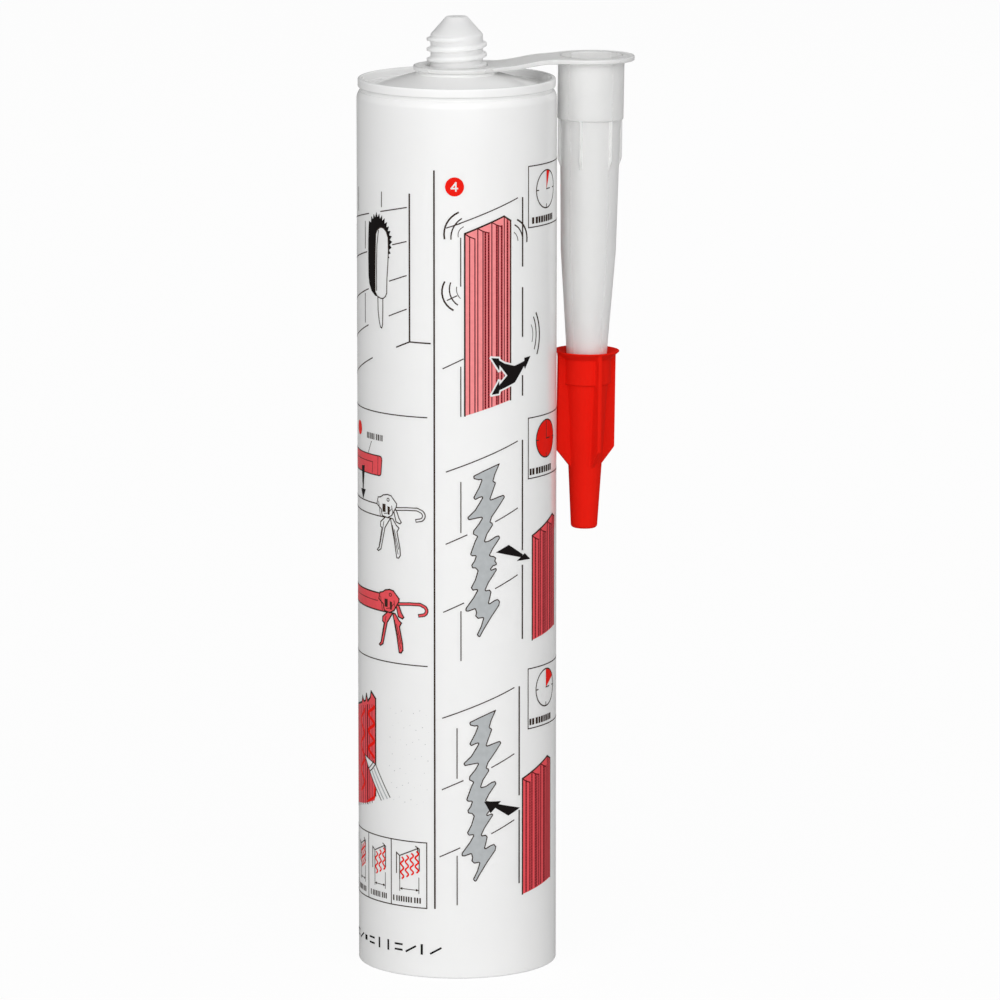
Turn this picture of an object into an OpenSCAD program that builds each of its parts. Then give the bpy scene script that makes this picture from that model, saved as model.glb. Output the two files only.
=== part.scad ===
// Caulk tube: a rigid cartridge with a closed threaded neck, its piston and its filling.
// A tapered nozzle hangs beside it on a moulded strap, and a finned cap closes the nozzle.
// Millimetres, +Z up. The origin is the centre of the open rear end that it stands on.
// The nozzle hangs on the +X side. Angles are in degrees from +X towards +Y.

/* [Barrel] */
// Outside diameter of the barrel
barrel_d = 49; // [46:0.1:54]
// Wall thickness of the barrel
barrel_wall = 1.2; // [1:0.1:1.8]
// Height from the open rear end to the top of the rim
barrel_l = 220.3; // [160:1:300]
// Chamfer on both edges of the open rear end
rear_edge = 0.3; // [0.1:0.05:0.5]
// Radius of the shoulder below the groove
shoulder_r = 3; // [2:0.1:4]

/* [Head] */
// Height of the rim that stands round the head
rim_h = 2.2; // [1.6:0.1:3]
// Thickness of the rim
rim_t = 1.1; // [0.8:0.1:1.6]
// How far the rim lies inside the barrel's outline
rim_inset = 0.3; // [0:0.05:0.6]
// Radius on the edges of the rim
rim_edge = 0.4; // [0.1:0.05:0.4]
// Height of the groove between the shoulder and the rim
groove_h = 0.9; // [0.5:0.1:1.5]
// Depth of the groove, from the barrel's outline
groove_depth = 0.9; // [0.5:0.1:1.2]
// Step between the shoulder's edge and the floor of the groove
groove_step = 0.2; // [0:0.05:0.4]
// Depth of the gutter inside the rim
gutter_depth = 1.9; // [1.2:0.1:2.1]
// Width of the gutter's flat floor
gutter_w = 2.6; // [1.5:0.1:5]
// Rise of the head from the gutter to the foot of the boss
head_rise = 3; // [2:0.1:6]
// Thickness of the head
head_t = 1.8; // [1.4:0.1:2.2]
// Radius of the low boss round the neck
boss_r = 10; // [9.2:0.1:12]
// Height of the boss
boss_h = 0.7; // [0.4:0.1:1.5]

/* [Neck] */
// Diameter of the neck under its thread
neck_d = 12.8; // [12:0.1:14]
// Length of the neck above the boss
neck_l = 13.1; // [12.5:0.1:14]
// Wall thickness of the neck
neck_wall = 1.6; // [1.2:0.1:2.2]
// Length of the cone that closes the neck
tip_l = 4.3; // [3.5:0.1:5]
// Diameter of the flat end of the cone
tip_d = 5.2; // [4.8:0.1:6.5]
// Thickness of the closed end, which is cut off before use
tip_t = 1.4; // [1:0.1:1.8]
// Radius of the fillet at the foot of the neck
neck_fillet = 0.7; // [0.4:0.1:0.9]

/* [Thread] */
// Height of the thread above the neck
thread_h = 0.95; // [0.6:0.05:1.1]
// Rise of the thread in one turn
thread_pitch = 2.5; // [2.2:0.1:2.8]
// Width of the thread at its root
thread_root = 1.6; // [1.2:0.1:1.8]
// Width of the thread at its crest
thread_crest = 0.5; // [0.3:0.05:0.7]
// Turns of thread on the neck
neck_turns = 3; // [2:0.25:3]
// Turns of thread in the nozzle
socket_turns = 2.5; // [1.5:0.25:3]
// Angle at which the neck's thread runs out at its top
thread_end = 284; // [0:1:359]
// Clearance between the neck's thread and the nozzle's socket
thread_gap = 0.1; // [0.05:0.05:0.3]

/* [Piston and filling] */
// Depth from the open rear end to the piston's skirt
piston_depth = 16; // [10:1:40]
// Length of the piston's skirt
piston_l = 17; // [12:1:24]
// Wall thickness of the skirt
piston_wall = 1.2; // [0.9:0.1:1.8]
// Thickness of the piston's face
piston_t = 1.8; // [1.4:0.1:2.6]
// Height of each sealing lip
lip_h = 2; // [1.4:0.1:3]
// How far the skirt lies inside the lips
lip_relief = 0.45; // [0.2:0.05:0.6]
// Running clearance between a lip and the barrel
piston_gap = 0.05; // [0.02:0.01:0.1]
// Clearance round the filling
fill_gap = 0.3; // [0.2:0.05:0.5]

/* [Strap] */
// Gap between the barrel and the socket that hangs beside it
hang_gap = 1.6; // [1.3:0.1:3]
// Width of the ring, from its bore to its edge
pad_w = 3.1; // [2.4:0.1:4]
// Thickness of the ring, the strap and the flange
strap_t = 1.2; // [1:0.1:1.4]
// Width of the strap at its waist
waist_w = 12.2; // [6:0.1:16]
// How far the flange lies above the ring
strap_rise = 1.25; // [0.5:0.05:3]
// Distance from the neck's axis to the start of the rise
rise_start = 11; // [4:0.5:14]
// Length of the rise along the strap
rise_l = 12; // [6:0.5:12.5]
// Radius on the edges of the ring and the flange
pad_edge = 0.45; // [0.1:0.05:0.5]
// Clearance between the ring's bore and the crest of the thread
ring_gap = 0.2; // [0.1:0.05:0.8]
// Clearance under the ring, where it rests on the boss
ring_seat = 0.05; // [0.02:0.01:0.1]

/* [Nozzle] */
// Length of the nozzle from the top of its flange
nozzle_l = 101; // [95:0.5:108]
// Angle at which the nozzle leans in towards the barrel
nozzle_lean = 0.8; // [0:0.05:0.9]
// Length of the socket, from the top of the flange
socket_l = 15.6; // [15:0.1:18]
// Wall thickness of the socket
socket_wall = 0.7; // [0.7:0.05:0.9]
// Thickness of the floor below the socket, where the bore narrows
socket_floor = 1.1; // [0.8:0.1:2]
// Radius of the nozzle just below the socket
body_r = 7.45; // [7.2:0.05:7.7]
// Radius where the ribs end
body_low_r = 7.2; // [7.1:0.05:7.3]
// Radius where the straight part turns into the taper
taper_r = 6.8; // [6.6:0.05:7]
// Depth of that turn, from the top of the flange
taper_depth = 48.3; // [40:0.1:56]
// Radius of the nozzle's open tip
nozzle_tip_r = 3.05; // [2.8:0.05:3.3]
// Wall thickness of the nozzle below the socket
nozzle_wall = 1.15; // [0.9:0.05:1.4]

/* [Nozzle ribs] */
// Number of ribs below the socket
rib_count = 6; // [4:1:8]
// Thickness of a rib
rib_t = 0.7; // [0.5:0.05:1]
// Radius at the outer edge of the ribs
rib_r = 8.05; // [7.9:0.05:8.1]
// Length of the ribs, from the socket down
rib_l = 12.1; // [8:0.1:18]
// Length of the slope at the ribs' lower end
rib_slope = 2.2; // [1:0.1:3]
// Radius on the lower corner of the ribs
rib_corner = 0.8; // [0.2:0.1:1]
// Angle of the first rib
rib_turn = -4; // [-30:1:30]

/* [Cap] */
// Length of nozzle that the cap covers
cap_cover = 27.5; // [22:0.5:32]
// Length of the cap
cap_l = 44.5; // [40:0.1:50]
// Radius of the flange round the cap's mouth
cap_flange_r = 8.05; // [7.8:0.05:8.2]
// Thickness of that flange
cap_flange_t = 1.1; // [1:0.1:1.6]
// Radius on the edges of that flange
cap_flange_edge = 0.3; // [0.2:0.05:0.5]
// Wall thickness of the collar below the flange
cap_collar_wall = 0.9; // [0.8:0.05:1.2]
// Length of the collar, from the cap's mouth
cap_collar_l = 8.2; // [6:0.1:12]
// Wall thickness of the body just below the collar
cap_wall = 0.75; // [0.6:0.05:0.8]
// Radius of the cap's closed end
cap_end_r = 3.25; // [3.1:0.05:3.6]
// Radius on the edge of the closed end
cap_edge = 0.8; // [0.3:0.05:1]
// Thickness of the closed end
cap_end_t = 1.4; // [1:0.1:2]
// Clearance between the nozzle and the cap
cap_gap = 0.12; // [0.08:0.01:0.2]
// Depth of the funnel in the cap's mouth
funnel_l = 1.3; // [0.6:0.1:2]
// Radius of the funnel at the mouth
funnel_r = 6.6; // [6:0.05:7]

/* [Cap fins] */
// Number of fins
fin_count = 4; // [3:1:6]
// Thickness of a fin
fin_t = 0.75; // [0.5:0.05:1]
// Radius at the outer edge of the fins
fin_r = 7.85; // [7.2:0.05:7.9]
// Depth of the lower end of the fins, from the cap's mouth
fin_depth = 29; // [22:0.1:34]
// Length of the slope at the fins' lower end
fin_slope = 4.4; // [2.5:0.1:5]
// Radius on the lower corner of the fins
fin_corner = 0.8; // [0.2:0.1:1.5]
// Angle of the first fin
fin_turn = 10; // [-45:1:45]

/* [Hidden] */
$fn = 96;

// How far parts that are joined reach into each other
sink = 0.3;
// How far a cut reaches past the face that it opens
past = 1;
// Parts of one turn of thread
thread_steps = 30;
// Turn over which a thread rises to its full height
run_out = 50;

// Barrel
barrel_r = barrel_d / 2;
bore_r = barrel_r - barrel_wall;
rim_r = barrel_r - rim_inset;
rim_in_r = rim_r - rim_t;
rim_z = barrel_l - rim_h;
groove_r = barrel_r - groove_depth;
groove_z = rim_z - groove_h;
shoulder_in = groove_depth - groove_step;
shoulder_drop = sqrt(shoulder_r * shoulder_r - pow(shoulder_r - shoulder_in, 2));
shoulder_z = groove_z - shoulder_drop;

// Head, from the gutter up to the neck
gutter_z = barrel_l - gutter_depth;
gutter_r = rim_in_r - gutter_w;
boss_foot_z = gutter_z + head_rise;
boss_z = boss_foot_z + boss_h;

// Neck
neck_r = neck_d / 2;
neck_bore_r = neck_r - neck_wall;
neck_z = boss_z + neck_l;
tip_z = neck_z - tip_l;
tip_r = tip_d / 2;
crest_r = neck_r + thread_h;
tip_slope = (neck_r - tip_r) / tip_l;
tip_bore_r = neck_bore_r - (tip_l - tip_t) * tip_slope;

// Piston and the space in front of it
lip_r = bore_r - piston_gap;
skirt_r = lip_r - lip_relief;
piston_in_r = skirt_r - piston_wall;
piston_z = piston_depth + piston_l;
fill_r = bore_r - fill_gap;

// Strap: its waist is cut by two arcs that touch the ring and the flange
ring_bore_r = crest_r + ring_gap;
pad_r = ring_bore_r + pad_w;
ring_z = boss_z + ring_seat;
flange_z = ring_z + strap_rise;
flange_top_z = flange_z + strap_t;
socket_r = crest_r + thread_gap;
socket_out_r = socket_r + socket_wall;
axis_gap = barrel_r + hang_gap + socket_out_r;
rise_end = rise_start + rise_l;
half_gap = axis_gap / 2;
half_waist = waist_w / 2;
waist_r = (half_gap * half_gap + half_waist * half_waist - pad_r * pad_r) / (2 * (pad_r - half_waist));
touch_x = pad_r * half_gap / (pad_r + waist_r);
touch_y = pad_r * (half_waist + waist_r) / (pad_r + waist_r);

// Nozzle, measured down from the top of its flange
socket_thread_r = neck_r + thread_gap;
socket_bottom = socket_l - socket_floor;
rib_depth = socket_l + rib_l;
taper = (taper_r - nozzle_tip_r) / (nozzle_l - taper_depth);

// Cap, measured down from its mouth
cap_depth = nozzle_l - cap_cover;
cap_mouth_r = nozzle_r(cap_depth) + cap_gap;
cap_collar_r = cap_mouth_r + cap_collar_wall;
cap_body_r = nozzle_r(cap_depth + cap_collar_l) + cap_gap + cap_wall;
cap_tip_r = nozzle_tip_r + cap_gap;
cap_hollow_l = cap_l - cap_end_t;
cap_taper = (cap_body_r - cap_end_r) / (cap_l - cap_collar_l);
cap_hollow_r = cap_tip_r - cap_taper * (cap_hollow_l - cap_cover);
cap_edge_r = cap_r(cap_l - cap_edge) - cap_edge;

// Outside radius of the tapered nozzle at a depth below the top of its flange
function nozzle_r(depth) = nozzle_tip_r + taper * (nozzle_l - depth);

// Outside radius of the cap's body at a depth below its mouth
function cap_r(depth) = cap_end_r + cap_taper * (cap_l - depth);

// Points of an arc about a centre
function arc(x, z, r, from, to, n) =
    [for (i = [0 : n]) let (a = from + (to - from) * i / n) [x + r * cos(a), z + r * sin(a)]];

// Rectangle between two radii and two heights, its outer corners rounded
module rounded_bar(r_in, r_out, z_low, z_high, edge) {
    square_between(r_in, r_out - edge, z_low, z_high);
    square_between(r_in, r_out, z_low + edge, z_high - edge);
    for (z = [z_low + edge, z_high - edge])
        translate([r_out - edge, z])
            circle(edge);
}

// Plain rectangle between two radii and two heights
module square_between(r_in, r_out, z_low, z_high) {
    translate([r_in, z_low])
        square([r_out - r_in, z_high - z_low]);
}

// Rising ridge of a screw thread, right-handed, its middle at height z where it ends.
// It stands on root_r and reaches reach outwards, or inwards when reach is negative.
module thread(root_r, reach, turns, z, end_angle) {
    steps = ceil(turns * thread_steps);
    side = sign(reach);
    foot_r = root_r - side * sink;
    function height(i) =
        let (left = min(i, steps - i) * 360 * turns / steps)
        min(1, left / run_out);
    function station(i) =
        let (a = end_angle - (steps - i) * 360 * turns / steps)
        let (mid = z - (steps - i) * thread_pitch * turns / steps)
        let (top_r = root_r - side * sink / 2 + (reach + side * sink / 2) * height(i))
        let (foot = thread_root / 2, top = thread_crest / 2)
        [for (p = [[foot_r, -foot], [top_r, -top], [top_r, top], [foot_r, foot]])
            [p[0] * cos(a), p[0] * sin(a), mid + p[1]]];
    corners = [for (i = [0 : steps]) each station(i)];
    sides = [for (i = [0 : steps - 1], k = [0 : 3])
        let (a = 4 * i + k, b = 4 * i + (k + 1) % 4)
        each [[a, b, b + 4], [a, b + 4, a + 4]]];
    last = 4 * steps;
    ends = [[2, 1, 0], [3, 2, 0], [last, last + 1, last + 2], [last, last + 2, last + 3]];
    faces = concat(sides, ends);
    polyhedron(corners, side > 0 ? faces : [for (f = faces) [f[2], f[1], f[0]]]);
}

// One rib or fin in side view: it fills from foot_r out to edge_r and slopes off at its lower end
module blade(foot_r, edge_r, top, bottom, slope, corner, thickness) {
    run = edge_r - foot_r;
    lean = atan2(slope, run);
    back = corner * tan((90 - lean) / 2);
    rotate([90, 0, 0])
        linear_extrude(thickness, center = true)
            polygon(concat(
                [[foot_r - sink, -top], [foot_r - sink, -bottom], [foot_r, -bottom]],
                arc(edge_r - corner, slope - bottom + back, corner, lean - 90, 0, 4),
                [[edge_r, -top]]));
}

// Side view of the barrel: wall, shoulder, groove, rim and head
module barrel_profile() {
    polygon([
        [bore_r + rear_edge, 0], [barrel_r - rear_edge, 0], [barrel_r, rear_edge],
        [barrel_r, shoulder_z], [bore_r, shoulder_z], [bore_r, rear_edge]]);
    intersection() {
        translate([barrel_r - shoulder_r, shoulder_z])
            circle(shoulder_r);
        square_between(bore_r, barrel_r, shoulder_z, groove_z);
    }
    square_between(bore_r - sink, groove_r, shoulder_z - sink, rim_z + sink);
    rounded_bar(rim_in_r, rim_r, rim_z, barrel_l, rim_edge);
    polygon([
        [neck_bore_r, boss_z - boss_h - head_t], [boss_r, boss_foot_z - head_t],
        [gutter_r, gutter_z - head_t], [groove_r - sink, gutter_z - head_t],
        [rim_in_r + sink, gutter_z], [gutter_r, gutter_z], [boss_r, boss_foot_z],
        [boss_r, boss_z], [neck_bore_r, boss_z]]);
}

// Side view of the neck, closed by its cone
module neck_profile() {
    polygon([
        [neck_bore_r, boss_foot_z - head_t], [neck_r, boss_foot_z], [neck_r, tip_z],
        [tip_r, neck_z], [0, neck_z], [0, neck_z - tip_t],
        [tip_bore_r, neck_z - tip_t], [neck_bore_r, tip_z]]);
    difference() {
        square_between(neck_r - sink, neck_r + neck_fillet, boss_z - sink, boss_z + neck_fillet);
        translate([neck_r + neck_fillet, boss_z + neck_fillet])
            circle(neck_fillet);
    }
}

// Cartridge: barrel, rim, head and closed threaded neck in one moulding
module barrel() {
    color("white") {
        rotate_extrude() {
            barrel_profile();
            neck_profile();
        }
        thread(neck_r, thread_h, neck_turns, tip_z - thread_root / 4, thread_end);
    }
}

// Piston: a cup that is open to the rear, with a sealing lip at each end of its skirt
module piston() {
    color("gainsboro")
        rotate_extrude() {
            square_between(piston_in_r, skirt_r, piston_depth, piston_z);
            square_between(0, skirt_r, piston_z - piston_t, piston_z);
            for (z = [piston_depth, piston_z - lip_h])
                rounded_bar(skirt_r - sink, lip_r, z, z + lip_h, lip_relief);
        }
}

// Filling: the compound between the piston and the closed tip
module sealant() {
    color("ivory")
        rotate_extrude()
            polygon([
                [0, piston_z + fill_gap], [fill_r, piston_z + fill_gap],
                [fill_r, gutter_z - head_t - fill_gap], [gutter_r, gutter_z - head_t - fill_gap],
                [boss_r, boss_foot_z - head_t - fill_gap],
                [neck_bore_r - fill_gap, boss_foot_z - head_t - fill_gap],
                [neck_bore_r - fill_gap, tip_z - fill_gap], [0, tip_z - fill_gap]]);
}

// Flat strap between the ring and the flange, seen from above
module strap_plan() {
    difference() {
        translate([touch_x, -touch_y])
            square([axis_gap - 2 * touch_x, 2 * touch_y]);
        for (side = [-1, 1])
            translate([half_gap, side * (half_waist + waist_r)])
                circle(waist_r);
    }
}

// Strap that rises from the ring to the flange
module strap() {
    intersection() {
        translate([0, 0, ring_z])
            linear_extrude(strap_rise + strap_t)
                strap_plan();
        rotate([90, 0, 0])
            linear_extrude(2 * pad_r, center = true)
                polygon([
                    [0, ring_z], [rise_start, ring_z], [rise_end, flange_z], [axis_gap, flange_z],
                    [axis_gap, flange_top_z], [rise_end, flange_top_z],
                    [rise_start, ring_z + strap_t], [0, ring_z + strap_t]]);
    }
}

// Puts its children on the nozzle's axis, with their origin at the top of the flange
module on_nozzle_axis() {
    translate([axis_gap, 0, flange_top_z])
        rotate([0, nozzle_lean, 0])
            children();
}

// Outside of the nozzle below its flange
module nozzle_outside() {
    rotate_extrude()
        polygon([
            [0, -sink], [socket_out_r, -sink], [socket_out_r, -socket_l],
            [body_r, -socket_l], [body_low_r, -rib_depth], [taper_r, -taper_depth],
            [nozzle_tip_r, -nozzle_l], [0, -nozzle_l]]);
    for (i = [0 : rib_count - 1])
        rotate(rib_turn + 360 * i / rib_count)
            blade(body_low_r, rib_r, socket_l - sink, rib_depth, rib_slope, rib_corner, rib_t);
}

// Space inside the nozzle, open at both ends
module nozzle_inside() {
    rotate_extrude()
        polygon([
            [0, past], [socket_r, past], [socket_r, -socket_bottom],
            [body_r - nozzle_wall, -socket_bottom - (socket_r - body_r + nozzle_wall)],
            [body_low_r - nozzle_wall, -rib_depth], [taper_r - nozzle_wall, -taper_depth],
            [nozzle_tip_r - nozzle_wall, -nozzle_l], [nozzle_tip_r - nozzle_wall, -nozzle_l - past],
            [0, -nozzle_l - past]]);
}

// Nozzle: ring, strap, flange, threaded socket and ribbed taper in one moulding
module nozzle() {
    color("whitesmoke") {
        difference() {
            union() {
                translate([axis_gap, 0, 0])
                    rotate_extrude()
                        rounded_bar(0, pad_r, flange_z, flange_top_z, pad_edge);
                rotate_extrude()
                    rounded_bar(0, pad_r, ring_z, ring_z + strap_t, pad_edge);
                strap();
                on_nozzle_axis()
                    nozzle_outside();
            }
            on_nozzle_axis()
                nozzle_inside();
            translate([0, 0, ring_z - past])
                cylinder(r = ring_bore_r, h = strap_t + 2 * past);
        }
        on_nozzle_axis()
            thread(socket_r, socket_thread_r - socket_r, socket_turns, -socket_l / 4, 0);
    }
}

// Side view of the cap's outside, its lower edge rounded
module cap_profile() {
    rounded_bar(0, cap_flange_r, -cap_flange_t, 0, cap_flange_edge);
    square_between(0, cap_collar_r, -cap_collar_l, -sink);
    polygon([
        [0, -sink], [cap_body_r, -sink], [cap_body_r, -cap_collar_l],
        [cap_edge_r + cap_edge, cap_edge - cap_l], [cap_edge_r, -cap_l], [0, -cap_l]]);
    translate([cap_edge_r, cap_edge - cap_l])
        circle(cap_edge);
}

// Cap: pushed on to the nozzle's tip, closed at its lower end, with fins to grip it by
module nozzle_cap() {
    color("red")
        on_nozzle_axis()
            translate([0, 0, -cap_depth])
                difference() {
                    union() {
                        rotate_extrude()
                            cap_profile();
                        for (i = [0 : fin_count - 1])
                            rotate(fin_turn + 360 * i / fin_count)
                                blade(
                                    cap_r(fin_depth), fin_r, cap_flange_t - sink,
                                    fin_depth, fin_slope, fin_corner, fin_t);
                    }
                    rotate_extrude()
                        polygon([
                            [0, past], [funnel_r, past], [funnel_r, 0], [cap_mouth_r, -funnel_l],
                            [cap_tip_r, -cap_cover], [cap_hollow_r, -cap_hollow_l],
                            [0, -cap_hollow_l]]);
                }
}

barrel();
piston();
sealant();
nozzle();
nozzle_cap();
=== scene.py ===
import math

import bpy
from mathutils import Matrix, Vector
from mathutils.geometry import delaunay_2d_cdt


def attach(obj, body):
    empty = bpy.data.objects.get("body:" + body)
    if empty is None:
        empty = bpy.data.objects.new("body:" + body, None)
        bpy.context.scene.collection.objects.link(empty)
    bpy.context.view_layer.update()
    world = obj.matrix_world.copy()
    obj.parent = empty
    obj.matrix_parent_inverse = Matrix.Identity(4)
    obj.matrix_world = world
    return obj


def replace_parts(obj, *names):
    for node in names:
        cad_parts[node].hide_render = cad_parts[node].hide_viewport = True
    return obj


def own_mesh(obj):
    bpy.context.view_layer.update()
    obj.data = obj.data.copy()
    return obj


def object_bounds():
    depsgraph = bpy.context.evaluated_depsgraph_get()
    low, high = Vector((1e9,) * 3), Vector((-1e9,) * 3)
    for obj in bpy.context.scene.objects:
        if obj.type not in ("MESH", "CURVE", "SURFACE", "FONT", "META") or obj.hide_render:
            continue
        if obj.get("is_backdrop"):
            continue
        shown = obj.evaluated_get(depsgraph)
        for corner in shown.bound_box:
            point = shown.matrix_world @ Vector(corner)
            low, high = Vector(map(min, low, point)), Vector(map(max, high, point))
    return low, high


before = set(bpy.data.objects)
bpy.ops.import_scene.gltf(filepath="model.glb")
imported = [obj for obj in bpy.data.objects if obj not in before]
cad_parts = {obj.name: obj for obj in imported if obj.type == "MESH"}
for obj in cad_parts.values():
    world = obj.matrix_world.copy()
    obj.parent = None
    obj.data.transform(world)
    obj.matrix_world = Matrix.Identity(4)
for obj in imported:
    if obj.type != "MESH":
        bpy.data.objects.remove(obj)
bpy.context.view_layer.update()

MM = 0.001

# sizes in millimetres, as in the part's source where no comment says otherwise
BARREL_R = 24.5
BORE_R = 23.3
BARREL_L = 220.3
REAR_EDGE = 0.3
SHOULDER_R = 3.0
GROOVE_Z = 217.2
GROOVE_R = 23.6
SHOULDER_EDGE_R = 23.8
SHOULDER_Z = GROOVE_Z - math.sqrt(SHOULDER_R ** 2 - (SHOULDER_EDGE_R - BARREL_R + SHOULDER_R) ** 2)
RIM_Z = 218.1
RIM_R = 24.2
RIM_IN_R = 23.1
GUTTER_Z = 218.4
GUTTER_R = 20.5
BOSS_R = 10.0
BOSS_FOOT_Z = 221.4
BOSS_Z = 222.1
HEAD_T = 1.8
NECK_R = 6.4
NECK_BORE_R = 4.8
TIP_Z = 230.9
NECK_Z = 235.2
TIP_R = 2.6
TIP_BORE_R = 2.237
TIP_T = 1.4
THREAD_H = 0.95
THREAD_PITCH = 2.5
THREAD_ROOT = 1.6
THREAD_CREST = 0.5
THREAD_END = 284.0
NECK_TURNS = 3.0
SOCKET_TURNS = 2.5
RUN_OUT = 50.0
BARREL_STEPS = 240
SHOULDER_STEPS = 8
NECK_STEP = 0.09

RING_BORE_R = 7.55
PAD_R = 10.65
BORE_EDGE = 0.3
# smaller than in the source, as in the photo
PAD_EDGE = 0.32
STRAP_T = 1.2
RING_Z = 222.15
RISE = 1.25
RISE_START = 11.0
RISE_END = 23.0
AXIS_GAP = 34.25
WAIST_W = 12.2
FLANGE_TOP_Z = RING_Z + RISE + STRAP_T
LEAN = math.radians(0.8)

SOCKET_R = 7.45
SOCKET_OUT_R = 8.15
SOCKET_L = 15.6
SOCKET_BOTTOM = 14.5
BODY_R = 7.45
BODY_LOW_R = 7.2
RIB_END = 27.7
TAPER_R = 6.8
TAPER_DEPTH = 48.3
NOZZLE_L = 101.0
NOZZLE_TIP_R = 3.05
NOZZLE_WALL = 1.15
RIB_COUNT = 6
RIB_T = 0.7
RIB_R = 8.05
RIB_SLOPE = 2.2
RIB_CORNER = 0.8
RIB_TURN = -4.0
RIB_EDGE = 0.2
FIN_FOOT = 0.25

# the cap's place, its lip, its funnel and its fins' thickness follow the photo, not the source
CAP_DEPTH = 73.15
CAP_COVER = 27.5
CAP_L = 44.5
CAP_FLANGE_R = 8.05
CAP_LIP_T = 0.25
CAP_LIP_EDGE = 0.1
CAP_FLARE_R = 6.5
CAP_FLARE_L = 1.6
CAP_COLLAR_L = 8.2
CAP_COLLAR_WALL = 0.9
CAP_WALL = 0.75
CAP_END_R = 3.25
CAP_EDGE = 0.8
CAP_END_T = 1.4
CAP_GAP = 0.12
FUNNEL_L = 1.3
FUNNEL_R = 7.75
CAP_POLE_R = 0.25
FIN_COUNT = 4
FIN_T = 0.95
FIN_EDGE = 0.09
FIN_R = 7.85
FIN_DEPTH = 29.0
FIN_SLOPE = 4.4
FIN_CORNER = 0.8
FIN_TURN = 10.0

PISTON_Z = 33.0
FILL_GAP = 0.3
FILL_STEPS = 96
TINY = 1e-6


# helpers
def ease(t):
    """Smooth step from 0 to 1."""
    t = max(0.0, min(1.0, t))
    return t * t * (3.0 - 2.0 * t)


NEARLY_STRAIGHT = math.radians(88)
CORNER_SHARE = 0.48


def rounded(corners, steps=5):
    """Path (r, z) through corners (r, z, radius), each corner rounded by its own radius."""
    path = []
    for i, (x, z, radius) in enumerate(corners):
        here = Vector((x, z))
        if radius == 0 or i in (0, len(corners) - 1):
            path.append(here)
            continue
        back = Vector(corners[i - 1][:2]) - here
        on = Vector(corners[i + 1][:2]) - here
        half = back.angle(on) / 2
        if half > NEARLY_STRAIGHT:
            path.append(here)
            continue
        reach = min(radius / math.tan(half), back.length * CORNER_SHARE, on.length * CORNER_SHARE)
        radius = reach * math.tan(half)
        start = here + back.normalized() * reach
        end = here + on.normalized() * reach
        centre = here + (back.normalized() + on.normalized()).normalized() * (radius / math.sin(half))
        a, b = start - centre, end - centre
        sweep = a.angle_signed(b)
        for k in range(steps + 1):
            turn = -sweep * k / steps
            path.append(centre + Matrix.Rotation(turn, 2) @ a)
    return [(p.x, p.y) for p in path]


def refined(path, step, keep):
    """The same path with extra points, no further apart than step, wherever keep() accepts them."""
    out = [path[0]]
    for a, b in zip(path, path[1:]):
        n = max(1, math.ceil(math.dist(a, b) / step))
        for k in range(1, n):
            extra = (a[0] + (b[0] - a[0]) * k / n, a[1] + (b[1] - a[1]) * k / n)
            if keep(extra):
                out.append(extra)
        out.append(b)
    return out


def mesh_piece(name, points, faces, material, body):
    """New object from points in millimetres. It rides on a body and takes its finish from a slot."""
    mesh = bpy.data.meshes.new(name)
    mesh.from_pydata([Vector(p) * MM for p in points], [], faces)
    mesh.validate()
    mesh.shade_smooth()
    piece = bpy.data.objects.new(name, mesh)
    bpy.context.scene.collection.objects.link(piece)
    if material:
        mesh.materials.append(material)
    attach(piece, body)
    return piece


FACE_WEIGHT = 60


def weigh(piece):
    """Lets the large faces lead the smooth shading, so that flats look flat beside rounded edges."""
    modifier = piece.modifiers.new("weighted normals", "WEIGHTED_NORMAL")
    modifier.weight = FACE_WEIGHT
    return piece


def stitch(rings, faces):
    """Quads between rings of point numbers. A ring of one number is a pole."""
    for low, high in zip(rings, rings[1:]):
        n = max(len(low), len(high))
        for k in range(n):
            m = (k + 1) % n
            if len(low) == 1:
                faces.append((low[0], high[m], high[k]))
            elif len(high) == 1:
                faces.append((low[k], low[m], high[0]))
            else:
                faces.append((low[k], low[m], high[m], high[k]))


def circle(r, z, count):
    turns = [math.tau * k / count for k in range(count)]
    return [(r * math.cos(turn), r * math.sin(turn), z) for turn in turns]


def turned(path, count, shift=None):
    """Points and faces of a path turned round Z. shift(r, z, angle) moves a point in or out."""
    points, rings = [], []
    for r, z in path:
        if r < TINY:
            rings.append([len(points)])
            points.append((0.0, 0.0, z))
            continue
        ring = []
        for k in range(count):
            a = 2 * math.pi * k / count
            here = r + (shift(r, z, a) if shift else 0.0)
            ring.append(len(points))
            points.append((here * math.cos(a), here * math.sin(a), z))
        rings.append(ring)
    faces = []
    stitch(rings, faces)
    return points, faces


def ridge(z, angle, top, turns, end_angle):
    """Height from 0 to 1 of a screw thread's ridge at a height and an angle. It ends at height top."""
    best = 0.0
    lead = (end_angle - math.degrees(angle)) % 360
    while lead <= turns * 360:
        off = abs(z - (top - lead / 360 * THREAD_PITCH))
        if off < THREAD_ROOT / 2:
            side = (THREAD_ROOT / 2 - off) / (THREAD_ROOT / 2 - THREAD_CREST / 2)
            best = max(best, ease(side) * ease(min(lead, turns * 360 - lead) / RUN_OUT))
        lead += 360
    return best


# materials
MOTTLE_RANGE = (0.3, 0.7)
GLOSS_SPREAD = 0.12


def set_inputs(node, **values):
    """Sets a node's inputs by their names, with an underscore for each blank."""
    for name, value in values.items():
        node.inputs[name.replace("_", " ")].default_value = value
    return node


def join(source, output, target, entry):
    source.id_data.links.new(source.outputs[output], target.inputs[entry])


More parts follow.
